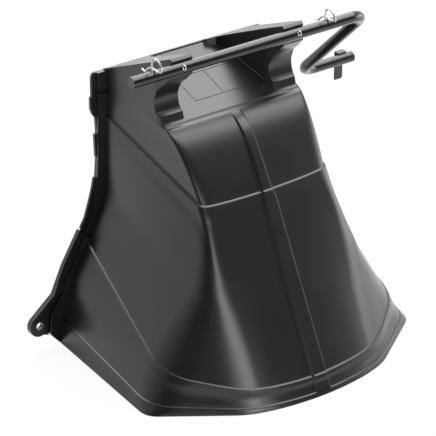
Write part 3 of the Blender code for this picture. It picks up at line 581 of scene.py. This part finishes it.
def hood_inside():
    sections = [inner_section(s, 0.0) for s in (0, 0.2, 0.4, 0.6, 0.8, 1)]
    sections += [inner_section(s, LEDGE)
                 for s in (1.1, 1.21, 1.32, 1.44, 1.56, 1.65, 1.75, 1.88, 2)]
    sections += [inner_section(s, skirt_swell(s)) for s in (2.12, 2.4, 3)]
    below = [Vector((p.x, p.y, -MOUTH_DROP - WALL)) for p in sections[-1]]
    return loft("hood_inside", sections + [below])


def plate(name, outline, low, high, plane, rounded=0.0):
    """A flat outline made solid between two offsets; its edges on the low side may be rounded."""
    bm = bmesh.new()
    place = {
        "XY": lambda u, v, w: Vector((u, v, w)),
        "XZ": lambda u, v, w: Vector((u, w, v)),
        "YZ": lambda u, v, w: Vector((w, u, v)),
    }[plane]
    lower = [bm.verts.new(place(u, v, low) * MM) for u, v in outline]
    upper = [bm.verts.new(place(u, v, high) * MM) for u, v in outline]
    base = bm.faces.new(lower)
    bm.faces.new(upper)
    for i in range(len(outline)):
        j = (i + 1) % len(outline)
        bm.faces.new((lower[i], lower[j], upper[j], upper[i]))
    if rounded:
        bmesh.ops.bevel(bm, geom=base.edges[:], offset=rounded * MM, segments=3, profile=0.6,
                        affect="EDGES", clamp_overlap=True)
    return solid(name, bm)


def cylinder(name, radius, start, end, sides):
    """A round tool between two points in millimetres."""
    axis = Vector(end) - Vector(start)
    bpy.ops.mesh.primitive_cylinder_add(vertices=sides, radius=radius * MM, depth=axis.length * MM,
                                        location=(Vector(start) + axis / 2) * MM,
                                        rotation=axis.to_track_quat("Z", "Y").to_euler())
    made = bpy.context.object
    made.name = name
    return made


def box(name, low, high):
    """A square tool between two corners in millimetres."""
    size = [(b - a) * MM for a, b in zip(low, high)]
    bpy.ops.mesh.primitive_cube_add(size=1.0, location=[(a + b) / 2 * MM for a, b in zip(low, high)])
    made = bpy.context.object
    made.name = name
    made.scale = size
    return made


def combine(target, operation, tools):
    """Joins tools to a piece, or cuts them out of it, in one step, and removes them."""
    group = bpy.data.collections.new("tools")
    for tool in tools:
        group.objects.link(tool)
    modifier = target.modifiers.new("tools", "BOOLEAN")
    modifier.operation = operation
    modifier.operand_type = "COLLECTION"
    modifier.collection = group
    modifier.solver = "EXACT"
    bpy.ops.object.select_all(action="DESELECT")
    bpy.context.view_layer.objects.active = target
    target.select_set(True)
    bpy.ops.object.modifier_apply(modifier=modifier.name)
    for tool in tools:
        bpy.data.objects.remove(tool)
    bpy.data.collections.remove(group)


def cheek_half(ahead):
    """Half width of the hood at the deck's side edge, at a distance ahead of the rear face."""
    return lerp(RIM_HALF, DECK_HALF, ahead / DECK_DEPTH)


def throat_curve():
    """The arm's throat as a soft line of (y, z) points."""
    length = [0.0]
    for (a, b), (c, d) in zip(THROAT, THROAT[1:]):
        length.append(length[-1] + math.hypot(c - a, d - b))
    ahead = [(run, point[0]) for run, point in zip(length, THROAT)]
    height = [(run, point[1]) for run, point in zip(length, THROAT)]
    runs = [length[-1] * i / 15 for i in range(16)]
    return [(-smooth(ahead, run), smooth(height, run)) for run in runs]


def arm_profile():
    """Side view of an arm, as (y, z), from its root up over the crest and down the throat."""
    nose = ARM_NOSE_BEHIND - ROD_FORWARD
    crest = ROD_RISE + ARM_CREST
    chin = ROD_RISE - ARM_CHIN
    foot = -THROAT[-1][0] - 3.0
    return ([(1.5 * REAR_STOCK, FLANGE_TOP), (0, FLANGE_TOP), (nose + 5, crest), (nose, crest - 3),
             (nose, chin + 2.5), (nose + 2, chin)] + throat_curve()
            + [(foot, deck_height(foot) + 1.0), (foot, deck_height(foot) - ARM_BURY), (0, -ARM_BURY),
               (1.5 * REAR_STOCK, -ARM_BURY)])


def arm_hollow_profile():
    """Side view of the space inside an arm, which is open downwards into the hood."""
    nose = ARM_NOSE_BEHIND - ROD_FORWARD
    crest = ROD_RISE + ARM_CREST
    front = -ROD_FORWARD + ROD_DIAMETER / 2 + SEAT_BACKING
    rise = (crest - FLANGE_TOP) / -(nose + 5)
    top = FLANGE_TOP - 1.1 * WALL
    back = -THROAT[4][0] + ARM_WALL
    bottom = -60
    return [(3 * REAR_STOCK, top), (0, top), (front, top - rise * front),
            (front, THROAT[1][1] + 3), (-THROAT[2][0] + 4, THROAT[2][1] + 4),
            (back - 1, THROAT[3][1] + 1.5), (back, THROAT[4][1]), (back - 1, THROAT[5][1]),
            (back - 1, bottom), (3 * REAR_STOCK, bottom)]


def arm_plan(side, inset, reach):
    """Plan outline of an arm; side is +1 or -1, reach is how far ahead it runs."""
    rear = 4 * REAR_STOCK
    outer = inset + ARM_OUTER_STEP
    rows = [(ARM_INNER + inset, -reach), (ARM_INNER + inset, -101 + inset),
            (ARM_INNER - 7.5 + inset, -51), (ARM_INNER - 14 + inset, -26.5),
            (ARM_INNER - 21 + inset, -16 + inset), (ARM_ROOT_INNER + inset, -10.7 + inset),
            (ARM_ROOT_INNER + inset, rear), (cheek_half(0) - outer, rear), (cheek_half(0) - outer, 0),
            (cheek_half(ARM_CHEST) - outer, -ARM_CHEST), (ARM_OUTER_TIP - inset, -reach)]
    return [(side * x, y) for x, y in rows]


def bevelled(piece, width, segments):
    """Rounds the sharp edges of the active piece."""
    modifier = piece.modifiers.new("rounding", "BEVEL")
    modifier.width = width * MM
    modifier.segments = segments
    modifier.limit_method = "ANGLE"
    modifier.angle_limit = math.radians(50)
    bpy.ops.object.modifier_apply(modifier=modifier.name)


def arm_block(side, name, profile, inset, reach, low, rounding):
    """A side view cut to the arm's plan, with its corners rounded."""
    made = plate(name, profile, side * ARM_STOCK[0], side * ARM_STOCK[1], "YZ")
    combine(made, "INTERSECT", [plate("plan", arm_plan(side, inset, reach), low, 120, "XY")])
    if rounding:
        bevelled(made, rounding, 4)
    return made


def wall_line(depth, drops):
    """Points inside the cheek's wall at its rear edge, from the bottom up; depth is a share of it."""
    return [(rear_half(max(drop, 0)) - depth * WALL, drop) for drop in sorted(drops, reverse=True)]


def ear_outline(inset):
    """The ear's outer edge, from the lower flange round its end to its foot."""
    radius = EAR_RADIUS - inset
    arc = [(half - inset, drop + 0.4 * inset) for half, drop in EAR_STRIP[1:]]
    for degrees in range(60, -111, -17):
        turn = math.radians(degrees)
        arc.append((EAR_HALF + radius * math.cos(turn), EAR_DROP - radius * math.sin(turn)))
    return arc + [(half, drop - 1.5 * inset) for half, drop in EAR_FOOT]


def flange_pieces():
    """The flange's flat pieces: outline and depth ahead of the rear face."""
    low = LOWER_FLANGE[0][1] + 15
    upper = UPPER_FLANGE + wall_line(0.24, (low, 200, FLARE_DROP, UPPER_FLANGE[0][1]))
    upper_band = UPPER_BAND + wall_line(0.44, (low - 3, 200, FLARE_DROP, UPPER_BAND[0][1]))
    waist = (HIP_DROP, LOWER_LEDGE_REAR_DROP + 4, LOWER_LEDGE_REAR_DROP - 1)
    lower = LOWER_FLANGE + wall_line(0.34, waist)
    lower_band = LOWER_BAND + [EAR_RIB[0]] + wall_line(0.54, waist)
    foot = (MOUTH_DROP - 2, HIP_DROP - 12)
    web = ear_outline(0.7) + wall_line(0.29, foot)
    strip = EAR_STRIP[:1] + ear_outline(0.0)[:-2] + POCKET[-2::-1]
    rib = EAR_RIB + EAR_FOOT[-1:] + wall_line(0.64, foot)
    return [("upper_flange", upper, FLANGE_THICK),
            ("upper_band", upper_band, FLANGE_THICK + BAND_PROUD),
            ("lower_flange", lower, FLANGE_THICK + FLANGE_PROUD),
            ("lower_band", lower_band, FLANGE_THICK + FLANGE_PROUD + BAND_PROUD),
            ("ear_web", web, WEB_DEPTH),
            ("ear_strip", strip, FRAME_DEPTH),
            ("ear_rib", rib, RIB_DEPTH)]


def pin_axis(station, reach):
    """A point on a split pin's axis, a distance behind the hinge axis along it."""
    tilt = math.radians(PIN_TILT_DEG)
    return Vector((station, -ROD_FORWARD + reach * math.cos(tilt), ROD_RISE - reach * math.sin(tilt)))


def pin_hole(name, station, start, end):
    """The slanted hole of a split pin, between two distances along it from the hinge axis."""
    return cylinder(name, PIN_WIRE + PIN_GAP / 2 + PIN_CLEARANCE, pin_axis(station, start),
                    pin_axis(station, end), 24)


def tube(name, points, diameter, resolution, closed=False):
    """A round wire or bar along the given points, made a mesh."""
    curve = bpy.data.curves.new(name, "CURVE")
    curve.dimensions = "3D"
    curve.bevel_depth = diameter / 2 * MM
    curve.bevel_resolution = resolution
    curve.use_fill_caps = True
    spline = curve.splines.new("POLY")
    spline.points.add(len(points) - 1)
    for slot, point in zip(spline.points, points):
        slot.co = (*(Vector(point) * MM), 1.0)
    spline.use_cyclic_u = closed
    made = bpy.data.objects.new(name, curve)
    bpy.context.scene.collection.objects.link(made)
    bpy.ops.object.select_all(action="DESELECT")
    made.select_set(True)
    bpy.context.view_layer.objects.active = made
    bpy.ops.object.convert(target="MESH")
    bpy.ops.object.mode_set(mode="EDIT")
    bpy.ops.mesh.select_all(action="SELECT")
    bpy.ops.mesh.remove_doubles(threshold=0.00002)
    bpy.ops.mesh.normals_make_consistent(inside=False)
    bpy.ops.object.mode_set(mode="OBJECT")
    return made


def frame_rib(name, low, high, deep):
    """A low raised line on the deck between two (x, y) corners."""
    bpy.ops.mesh.primitive_cube_add(size=1.0)
    made = bpy.context.object
    made.name = name
    for vertex in made.data.vertices:
        x, y = [lerp(low[axis], high[axis], vertex.co[axis] + 0.5) for axis in (0, 1)]
        draft = RIB_DRAFT * (1 if vertex.co.z > 0 else -1)
        x -= math.copysign(draft, vertex.co.x)
        y -= math.copysign(draft, vertex.co.y)
        rise = RIB_RISE * (1.1 - 0.1 * deep) if vertex.co.z > 0 else -deep
        vertex.co = Vector((x, y, deck_height(y) + rise)) * MM
    return made


hood = hood_outside()
hood.name = "moulded_hood"
joined = []
# The flange's pieces start at different depths behind the rear face, so that no two of their
# faces lie in one plane; the excess is trimmed off last.
for side, hand in ((-1, "left"), (1, "right")):
    reach = ROD_FORWARD - ARM_NOSE_BEHIND + 1
    joined.append(arm_block(side, "arm_" + hand, arm_profile(), 0.0, reach, -60, ARM_EDGE_ROUND))
    for number, (kind, outline, depth) in enumerate(flange_pieces()):
        radius = BAND_ROUND if kind in ("upper_band", "lower_band", "ear_rib") else 0.0
        joined.append(plate(kind + hand, [(side * x, -drop) for x, drop in outline], -depth,
                            (1.07 + 0.06 * number) * REAR_STOCK, "XZ", radius))
joined.append(box("rim_bar", (-RIM_BAR_HALF, -RIM_BAR_THICK, FLANGE_TOP - RIM_BAR_HEIGHT),
                  (RIM_BAR_HALF, 0.85 * REAR_STOCK, FLANGE_TOP + 0.2)))
for side, hand in ((-1, "left"), (1, "right")):
    foot = arm_plan(side, 0.3, -THROAT[-1][0])[1:6]
    route = [Vector((x, y, deck_height(y) + 0.4)) for x, y in foot]
    joined.append(tube("root_bead_" + hand, route + [Vector((route[-1].x, -4.0, -0.9))], BEAD, 3))
for number, x in enumerate((FIELD_LEFT, FIELD_MIDDLE, FIELD_RIGHT)):
    joined.append(frame_rib("field_side_%d" % number, (x - RIB_HALF, FIELD_FRONT),
                            (x + RIB_HALF, FIELD_REAR), RIB_ROOT_SIDE))
for number, y in enumerate((FIELD_FRONT, FIELD_REAR)):
    joined.append(frame_rib("field_end_%d" % number, (FIELD_LEFT - 2 * RIB_HALF, y - RIB_HALF),
                            (FIELD_RIGHT + 2 * RIB_HALF, y + RIB_HALF), RIB_ROOT_END))
combine(hood, "UNION", joined)
combine(hood, "DIFFERENCE", [hood_inside()])
cuts = []
for side, hand, station in ((-1, "left", -PIN_LEFT), (1, "right", PIN_RIGHT)):
    cuts.append(arm_block(side, "hollow_" + hand, arm_hollow_profile(), ARM_WALL, ROD_FORWARD, -80, 0.0))
    cuts.append(pin_hole("pin_hole_" + hand, station, 0, PIN_LENGTH + 4))
    cuts.append(cylinder("ear_hole_" + hand, EAR_HOLE_DIAMETER / 2,
                         (side * EAR_HALF, -2 * FRAME_DEPTH, -EAR_DROP),
                         (side * EAR_HALF, 3 * REAR_STOCK, -EAR_DROP), 64))
    near, far = sorted((side * (RIM_HALF + 1), side * (UPPER_BAND[1][0] + 2)))
    cuts.append(box("slit_" + hand, (near, -3 * FLANGE_THICK, -NOTCH_DROP - NOTCH_HEIGHT),
                    (far, -FLANGE_THICK - 0.4, -NOTCH_DROP)))
gate = front_middle(GATE_STATION).y - LEDGE - STRIP_RAISE
cuts.append(cylinder("gate_dimple", GATE_RADIUS, (0, gate - 6, 3 - GATE_DROP),
                     (0, gate + GATE_DEPTH, -GATE_DROP), 48))
combine(hood, "DIFFERENCE", cuts)
combine(hood, "DIFFERENCE", [cylinder("seat", ROD_DIAMETER / 2 + SEAT_CLEARANCE,
                                      (-RIM_HALF - SEAT_OVERRUN, -ROD_FORWARD, ROD_RISE),
                                      (RIM_HALF + SEAT_OVERRUN, -ROD_FORWARD, ROD_RISE), 96)])
combine(hood, "DIFFERENCE", [box("rear_trim", (-EAR_HALF - TRIM_MARGIN, 0, -MOUTH_DROP - TRIM_MARGIN),
                                 (EAR_HALF + TRIM_MARGIN, 10 * REAR_STOCK, ROD_RISE + TRIM_MARGIN))])


def surface(name, colour, roughness, metallic=0.0, ior=1.5):
    """A new material with its shader, and the object's own coordinates in metres."""
    made = bpy.data.materials.new(name)
    made.use_nodes = True
    tree = made.node_tree
    shader = tree.nodes["Principled BSDF"]
    shader.inputs["Base Color"].default_value = srgb(colour)
    shader.inputs["Roughness"].default_value = roughness
    shader.inputs["Metallic"].default_value = metallic
    shader.inputs["IOR"].default_value = ior
    place = node(tree, "ShaderNodeTexCoord").outputs["Object"]
    return made, tree, shader, place


def fit(piece, node_name, finish, degrees):
    """Shades a finished piece and puts it in the place of its CAD node."""
    bpy.ops.object.select_all(action="DESELECT")
    piece.select_set(True)
    bpy.context.view_layer.objects.active = piece
    bpy.ops.object.shade_smooth_by_angle(angle=math.radians(degrees))
    modifier = piece.modifiers.new("weighted_normals", "WEIGHTED_NORMAL")
    modifier.keep_sharp = True
    bpy.ops.object.modifier_apply(modifier=modifier.name)
    piece.data.materials.clear()
    piece.data.materials.append(finish)
    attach(piece, "root")
    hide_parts(node_name)
    piece.select_set(False)


# Polypropylene, coloured through with carbon black and moulded against a spark-eroded tool: a
# deep black with a broad satin sheen. The real grain is about 0.15 mm wide, too fine to show, so
# it is drawn 1.2 mm wide and very shallow.
GRAIN = 1.2
GRAIN_DEPTH = 0.012
polypropylene, tree, shader, place = surface("moulded_polypropylene", "#111112", 0.30, ior=1.49)
grain = node(tree, "ShaderNodeTexNoise", {"Vector": place}, Scale=1 / (GRAIN * MM), Detail=2.0)
cloud = node(tree, "ShaderNodeTexNoise", {"Vector": place}, Scale=1 / (45.0 * MM), Detail=3.0)
sheen = node(tree, "ShaderNodeMapRange", {"Value": cloud.outputs["Fac"]}, To_Min=0.27, To_Max=0.33)
tree.links.new(sheen.outputs["Result"], shader.inputs["Roughness"])
tint = node(tree, "ShaderNodeMixRGB", {"Fac": cloud.outputs["Fac"]}, Color1=srgb("#0f0f10"),
            Color2=srgb("#131314"))
tree.links.new(tint.outputs["Color"], shader.inputs["Base Color"])
relief = node(tree, "ShaderNodeBump", {"Height": grain.outputs["Fac"]}, Strength=1.0,
              Distance=GRAIN_DEPTH * MM)
tree.links.new(relief.outputs["Normal"], shader.inputs["Normal"])
fit(hood, "deflector_shell", polypropylene, 30)

# Hinge rod. A 16 mm steel bar bent cold in two places, chamfered at both ends, drilled for the
# pins and the clips, and powder coated in gloss black.
ROD_LEFT = 177.0
CRANK_SIDE = 218.0
CRANK_SPLAY = -6.0          # the second bend lies this far to the side of the first
CRANK_BACK = 142.5
CRANK_DROP = 139.6
CRANK_REACH = 99.0
BEND_RADIUS = 28.0
BEND_STEPS = 28             # segments in each bend
ROD_CHAMFER = 2.2

CLIP_LEFT = 143.5
CLIP_RIGHT = 145.3
CLIP_WIRE = 2.4
CLIP_LEFT_TOP = 28.0        # top of the loop above the hinge axis
CLIP_RIGHT_TOP = 25.5
CLIP_LEAD = 3.0             # the loop drifts sideways by this much, clear of its own leg
CLIP_HOLE_CLEARANCE = 0.35
CLIP_END_ROUND = 0.45


def bend(before, corner, after):
    """Points of the arc that rounds a corner of the rod."""
    into = (corner - before).normalized()
    out = (after - corner).normalized()
    angle = into.angle(out)
    start = corner - into * BEND_RADIUS * math.tan(angle / 2)
    inward = (out - into * into.dot(out)).normalized()
    centre = start + inward * BEND_RADIUS
    turns = [angle * i / BEND_STEPS for i in range(BEND_STEPS + 1)]
    return [centre + BEND_RADIUS * (into * math.sin(turn) - inward * math.cos(turn)) for turn in turns]


def rod_route():
    """Centre line of the rod with its two bends."""
    hinge = Vector((0, -ROD_FORWARD, ROD_RISE))
    first = hinge + Vector((CRANK_SIDE, 0, 0))
    second = first + Vector((CRANK_SPLAY, CRANK_BACK, -CRANK_DROP))
    end = second + Vector((CRANK_REACH, 0, 0))
    start = hinge - Vector((ROD_LEFT, 0, 0))
    return [start] + bend(start, first, second) + bend(first, second, end) + [end]


def round_ends(piece, width):
    """Rounds the rims of a bar's two flat ends."""
    bpy.ops.object.mode_set(mode="EDIT")
    bpy.ops.mesh.select_all(action="DESELECT")
    bpy.ops.mesh.select_mode(type="FACE")
    bpy.ops.object.mode_set(mode="OBJECT")
    for face in piece.data.polygons:
        face.select = len(face.vertices) > 4
    bpy.ops.object.mode_set(mode="EDIT")
    bpy.ops.mesh.region_to_loop()
    bpy.ops.mesh.bevel(offset=width * MM, segments=5, affect="EDGES")
    bpy.ops.object.mode_set(mode="OBJECT")


rod = tube("hinge_bar", rod_route(), ROD_DIAMETER, 22)
round_ends(rod, ROD_CHAMFER)
drills = [pin_hole("drill_left", -PIN_LEFT, -ROD_DIAMETER, ROD_DIAMETER),
          pin_hole("drill_right", PIN_RIGHT, -ROD_DIAMETER, ROD_DIAMETER)]
for station in (-CLIP_LEFT, CLIP_RIGHT):
    drills.append(cylinder("drill_clip", CLIP_WIRE / 2 + CLIP_HOLE_CLEARANCE,
                           (station, -ROD_FORWARD, ROD_RISE - ROD_DIAMETER),
                           (station, -ROD_FORWARD, ROD_RISE + ROD_DIAMETER), 32))
combine(rod, "DIFFERENCE", drills)

# Powder coat flows out glossy but keeps a faint orange peel, some 3 mm from crest to crest.
PEEL = 3.0
PEEL_DEPTH = 0.006
powder_coat, tree, shader, place = surface("gloss_powder_coat", "#0e0e0f", 0.20)
peel = node(tree, "ShaderNodeTexNoise", {"Vector": place}, Scale=1 / (PEEL * MM), Detail=1.0)
wear = node(tree, "ShaderNodeTexNoise", {"Vector": place}, Scale=1 / (20.0 * MM), Detail=3.0)
sheen = node(tree, "ShaderNodeMapRange", {"Value": wear.outputs["Fac"]}, To_Min=0.17, To_Max=0.25)
tree.links.new(sheen.outputs["Result"], shader.inputs["Roughness"])
relief = node(tree, "ShaderNodeBump", {"Height": peel.outputs["Fac"]}, Strength=1.0,
              Distance=PEEL_DEPTH * MM)
tree.links.new(relief.outputs["Normal"], shader.inputs["Normal"])
fit(rod, "hinge_rod", powder_coat, 35)

# Latch plate. A strip of 2.5 mm steel folded to an angle and welded on the rod's cranked end
# before the coating; one leg lies on the bar and the other hangs down behind it.
LATCH_WIDTH = 14.5
LATCH_THICK = 2.5
LATCH_FROM_END = 16.8
LATCH_DROP = 35.0
LATCH_TOP = 10.5
LATCH_CORNER = 4.0
LATCH_EDGE_ROUND = 0.5
WELD_GAP = 0.3
WELD_RADIUS = 1.3           # each weld is a row of overlapping drops
WELD_START = 1.6
WELD_PITCH = 2.25
WELD_COUNT = 6

radius = ROD_DIAMETER / 2 + WELD_GAP
axis_y = -ROD_FORWARD + CRANK_BACK
axis_z = ROD_RISE - CRANK_DROP
back = axis_y + radius
top = axis_z + radius
fold = [Vector((0, back - LATCH_TOP, top + LATCH_THICK)),
        Vector((0, back + LATCH_THICK, top + LATCH_THICK)),
        Vector((0, back + LATCH_THICK, axis_z - LATCH_DROP))]
outline = [(back + LATCH_THICK - LATCH_TOP, top), (back, top), (back, axis_z - LATCH_DROP),
           (back + LATCH_THICK, axis_z - LATCH_DROP)]
outline += [(p.y, p.z) for p in reversed(fillet(*fold, 0.9 * LATCH_THICK, 8))]
outline += [(back + LATCH_THICK - LATCH_TOP, top + LATCH_THICK)]
end = CRANK_SIDE + CRANK_SPLAY + CRANK_REACH - LATCH_FROM_END + LATCH_WIDTH / 2
start = end - LATCH_WIDTH
latch = plate("latch_angle", outline, start, end, "YZ")
foot = axis_z - LATCH_DROP
corner = [Vector((start, 0, foot)), Vector((end, 0, foot)), Vector((end, 0, top))]
face = [(start, foot)] + [(p.x, p.z) for p in fillet(*corner, LATCH_CORNER, 10)]
face += [(end, top + 2 * LATCH_THICK), (start, top + 2 * LATCH_THICK)]
combine(latch, "INTERSECT", [plate("latch_face", face, back - LATCH_TOP - 5, back + 10, "XZ")])
bevelled(latch, LATCH_EDGE_ROUND, 3)
beads = []
for number in range(WELD_COUNT):
    station = start + WELD_START + WELD_PITCH * number
    for y, z in ((back + LATCH_THICK - LATCH_TOP + 0.4, top + 0.1), (back + 0.1, axis_z - 3.0)):
        bpy.ops.mesh.primitive_uv_sphere_add(segments=20, ring_count=12, radius=WELD_RADIUS * MM,
                                             location=Vector((station, y, z)) * MM)
        beads.append(bpy.context.object)
combine(latch, "UNION", beads)
fit(latch, "latch_plate", powder_coat, 35)

# R-clips. Each is one length of 2.4 mm spring wire, bent cold and zinc plated bright: a straight
# leg stands in the rod's hole, and the sprung leg grips over the rod.


def eased(points, steps):
    """Points on a soft curve through the given ones."""
    ends = [points[0]] + points + [points[-1]]
    route = []
    for a, b, c, d in zip(ends, ends[1:], ends[2:], ends[3:]):
        for i in range(steps):
            t = i / steps
            route.append(0.5 * (2 * b + (c - a) * t + (2 * a - 5 * b + 4 * c - d) * t ** 2
                                + (3 * b - a - 3 * c + d) * t ** 3))
    return route + [points[-1]]


def r_clip(name, station, top):
    """One clip at its place on the rod, with the top of its loop at a height over the axis."""
    over = ROD_DIAMETER / 2 + CLIP_WIRE / 2 + PIN_GAP
    leg = [(0, 0, 0.6 - ROD_DIAMETER / 2), (0, 0, over), (0, 0, top - 9), (0.1, -0.6, top - 4.4),
           (0.3, -2.4, top - 1.6), (0.6, -5.2, top - 0.3), (0.9, -8.6, top - 0.3),
           (1.2, -12.4, top - 2.0), (1.6, -16.0, top - 5.4), (1.9, -18.6, top - 9.6),
           (2.2, -19.0, top - 13), (2.7, -17.0, over + 1.4), (2.9, -13.0, over + 0.2),
           (3.0, -9.0, over - 0.4), (3.0, -5.5, over + 0.1)]
    spring = [(3.0, -2.0, over + 0.5), (3.0, 2.0, over + 0.6), (3.0, 6.0, over + 0.3),
              (3.0, 10.0, over - 0.9), (3.0, 13.5, over - 3.4), (3.0, 16.5, over - 6.6),
              (3.0, 19.0, over - 8.8), (3.0, 22.5, over - 9.2), (3.0, 27.0, over - 8.0)]
    sideways = CLIP_LEAD / 3.0
    hinge = Vector((station, -ROD_FORWARD, ROD_RISE))
    route = [hinge + Vector((x * sideways, y, z)) for x, y, z in leg + spring]
    clip = tube(name, eased(route, 4), CLIP_WIRE, 6)
    round_ends(clip, CLIP_END_ROUND)
    return clip


# Bright zinc shows soft, bluish white reflections; the drawing of the wire leaves faint lines
# that are drawn about 0.8 mm apart.
DRAWN = 0.8
zinc_plate, tree, shader, place = surface("bright_zinc_plate", "#b4b6b9", 0.28, metallic=1.0)
lines = node(tree, "ShaderNodeTexNoise", {"Vector": place}, Scale=1 / (DRAWN * MM), Detail=2.0)
sheen = node(tree, "ShaderNodeMapRange", {"Value": lines.outputs["Fac"]}, To_Min=0.18, To_Max=0.32)
tree.links.new(sheen.outputs["Result"], shader.inputs["Roughness"])
tint = node(tree, "ShaderNodeMixRGB", {"Fac": lines.outputs["Fac"]}, Color1=srgb("#a6a8ac"),
            Color2=srgb("#c2c4c6"))
tree.links.new(tint.outputs["Color"], shader.inputs["Base Color"])
fit(r_clip("spring_clip_left", -CLIP_LEFT, CLIP_LEFT_TOP), "r_clip_left", zinc_plate, 50)
fit(r_clip("spring_clip_right", CLIP_RIGHT, CLIP_RIGHT_TOP), "r_clip_right", zinc_plate, 50)

# Split pins. Each is one length of half-round zinc plated wire folded on itself: an eye in front
# of the rod, and two legs that run through rod and arm and are spread behind.
PIN_EYE_RADIUS = 3.5
PIN_SPREAD = 1.6            # each leg's tip bends out by this much
PIN_END_ROUND = 0.4


def split_pin(name, station):
    """One pin at its place on the rod."""
    tilt = math.radians(PIN_TILT_DEG)
    upward = Vector((0, math.sin(tilt), math.cos(tilt)))
    backward = Vector((0, math.cos(tilt), -math.sin(tilt)))
    apart = (PIN_WIRE + PIN_GAP) / 2
    front = -ROD_DIAMETER / 2 - PIN_WIRE / 2
    points = [(PIN_LENGTH, apart + PIN_SPREAD), (PIN_LENGTH - 5, apart), (front, apart)]
    eye = front - 0.8 * PIN_EYE_RADIUS
    for degrees in range(40, 321, 14):
        turn = math.radians(degrees)
        points.append((eye + PIN_EYE_RADIUS * math.cos(turn), PIN_EYE_RADIUS * math.sin(turn)))
    points += [(front, -apart), (PIN_LENGTH - 3, -apart), (PIN_LENGTH + 2, -apart - PIN_SPREAD)]
    hinge = Vector((station, -ROD_FORWARD, ROD_RISE))
    pin = tube(name, [hinge + backward * a + upward * b for a, b in points], PIN_WIRE, 6)
    round_ends(pin, PIN_END_ROUND)
    return pin


fit(split_pin("folded_pin_left", -PIN_LEFT), "split_pin_left", zinc_plate, 50)
fit(split_pin("folded_pin_right", PIN_RIGHT), "split_pin_right", zinc_plate, 50)

bpy.context.scene.view_settings.view_transform = "Standard"
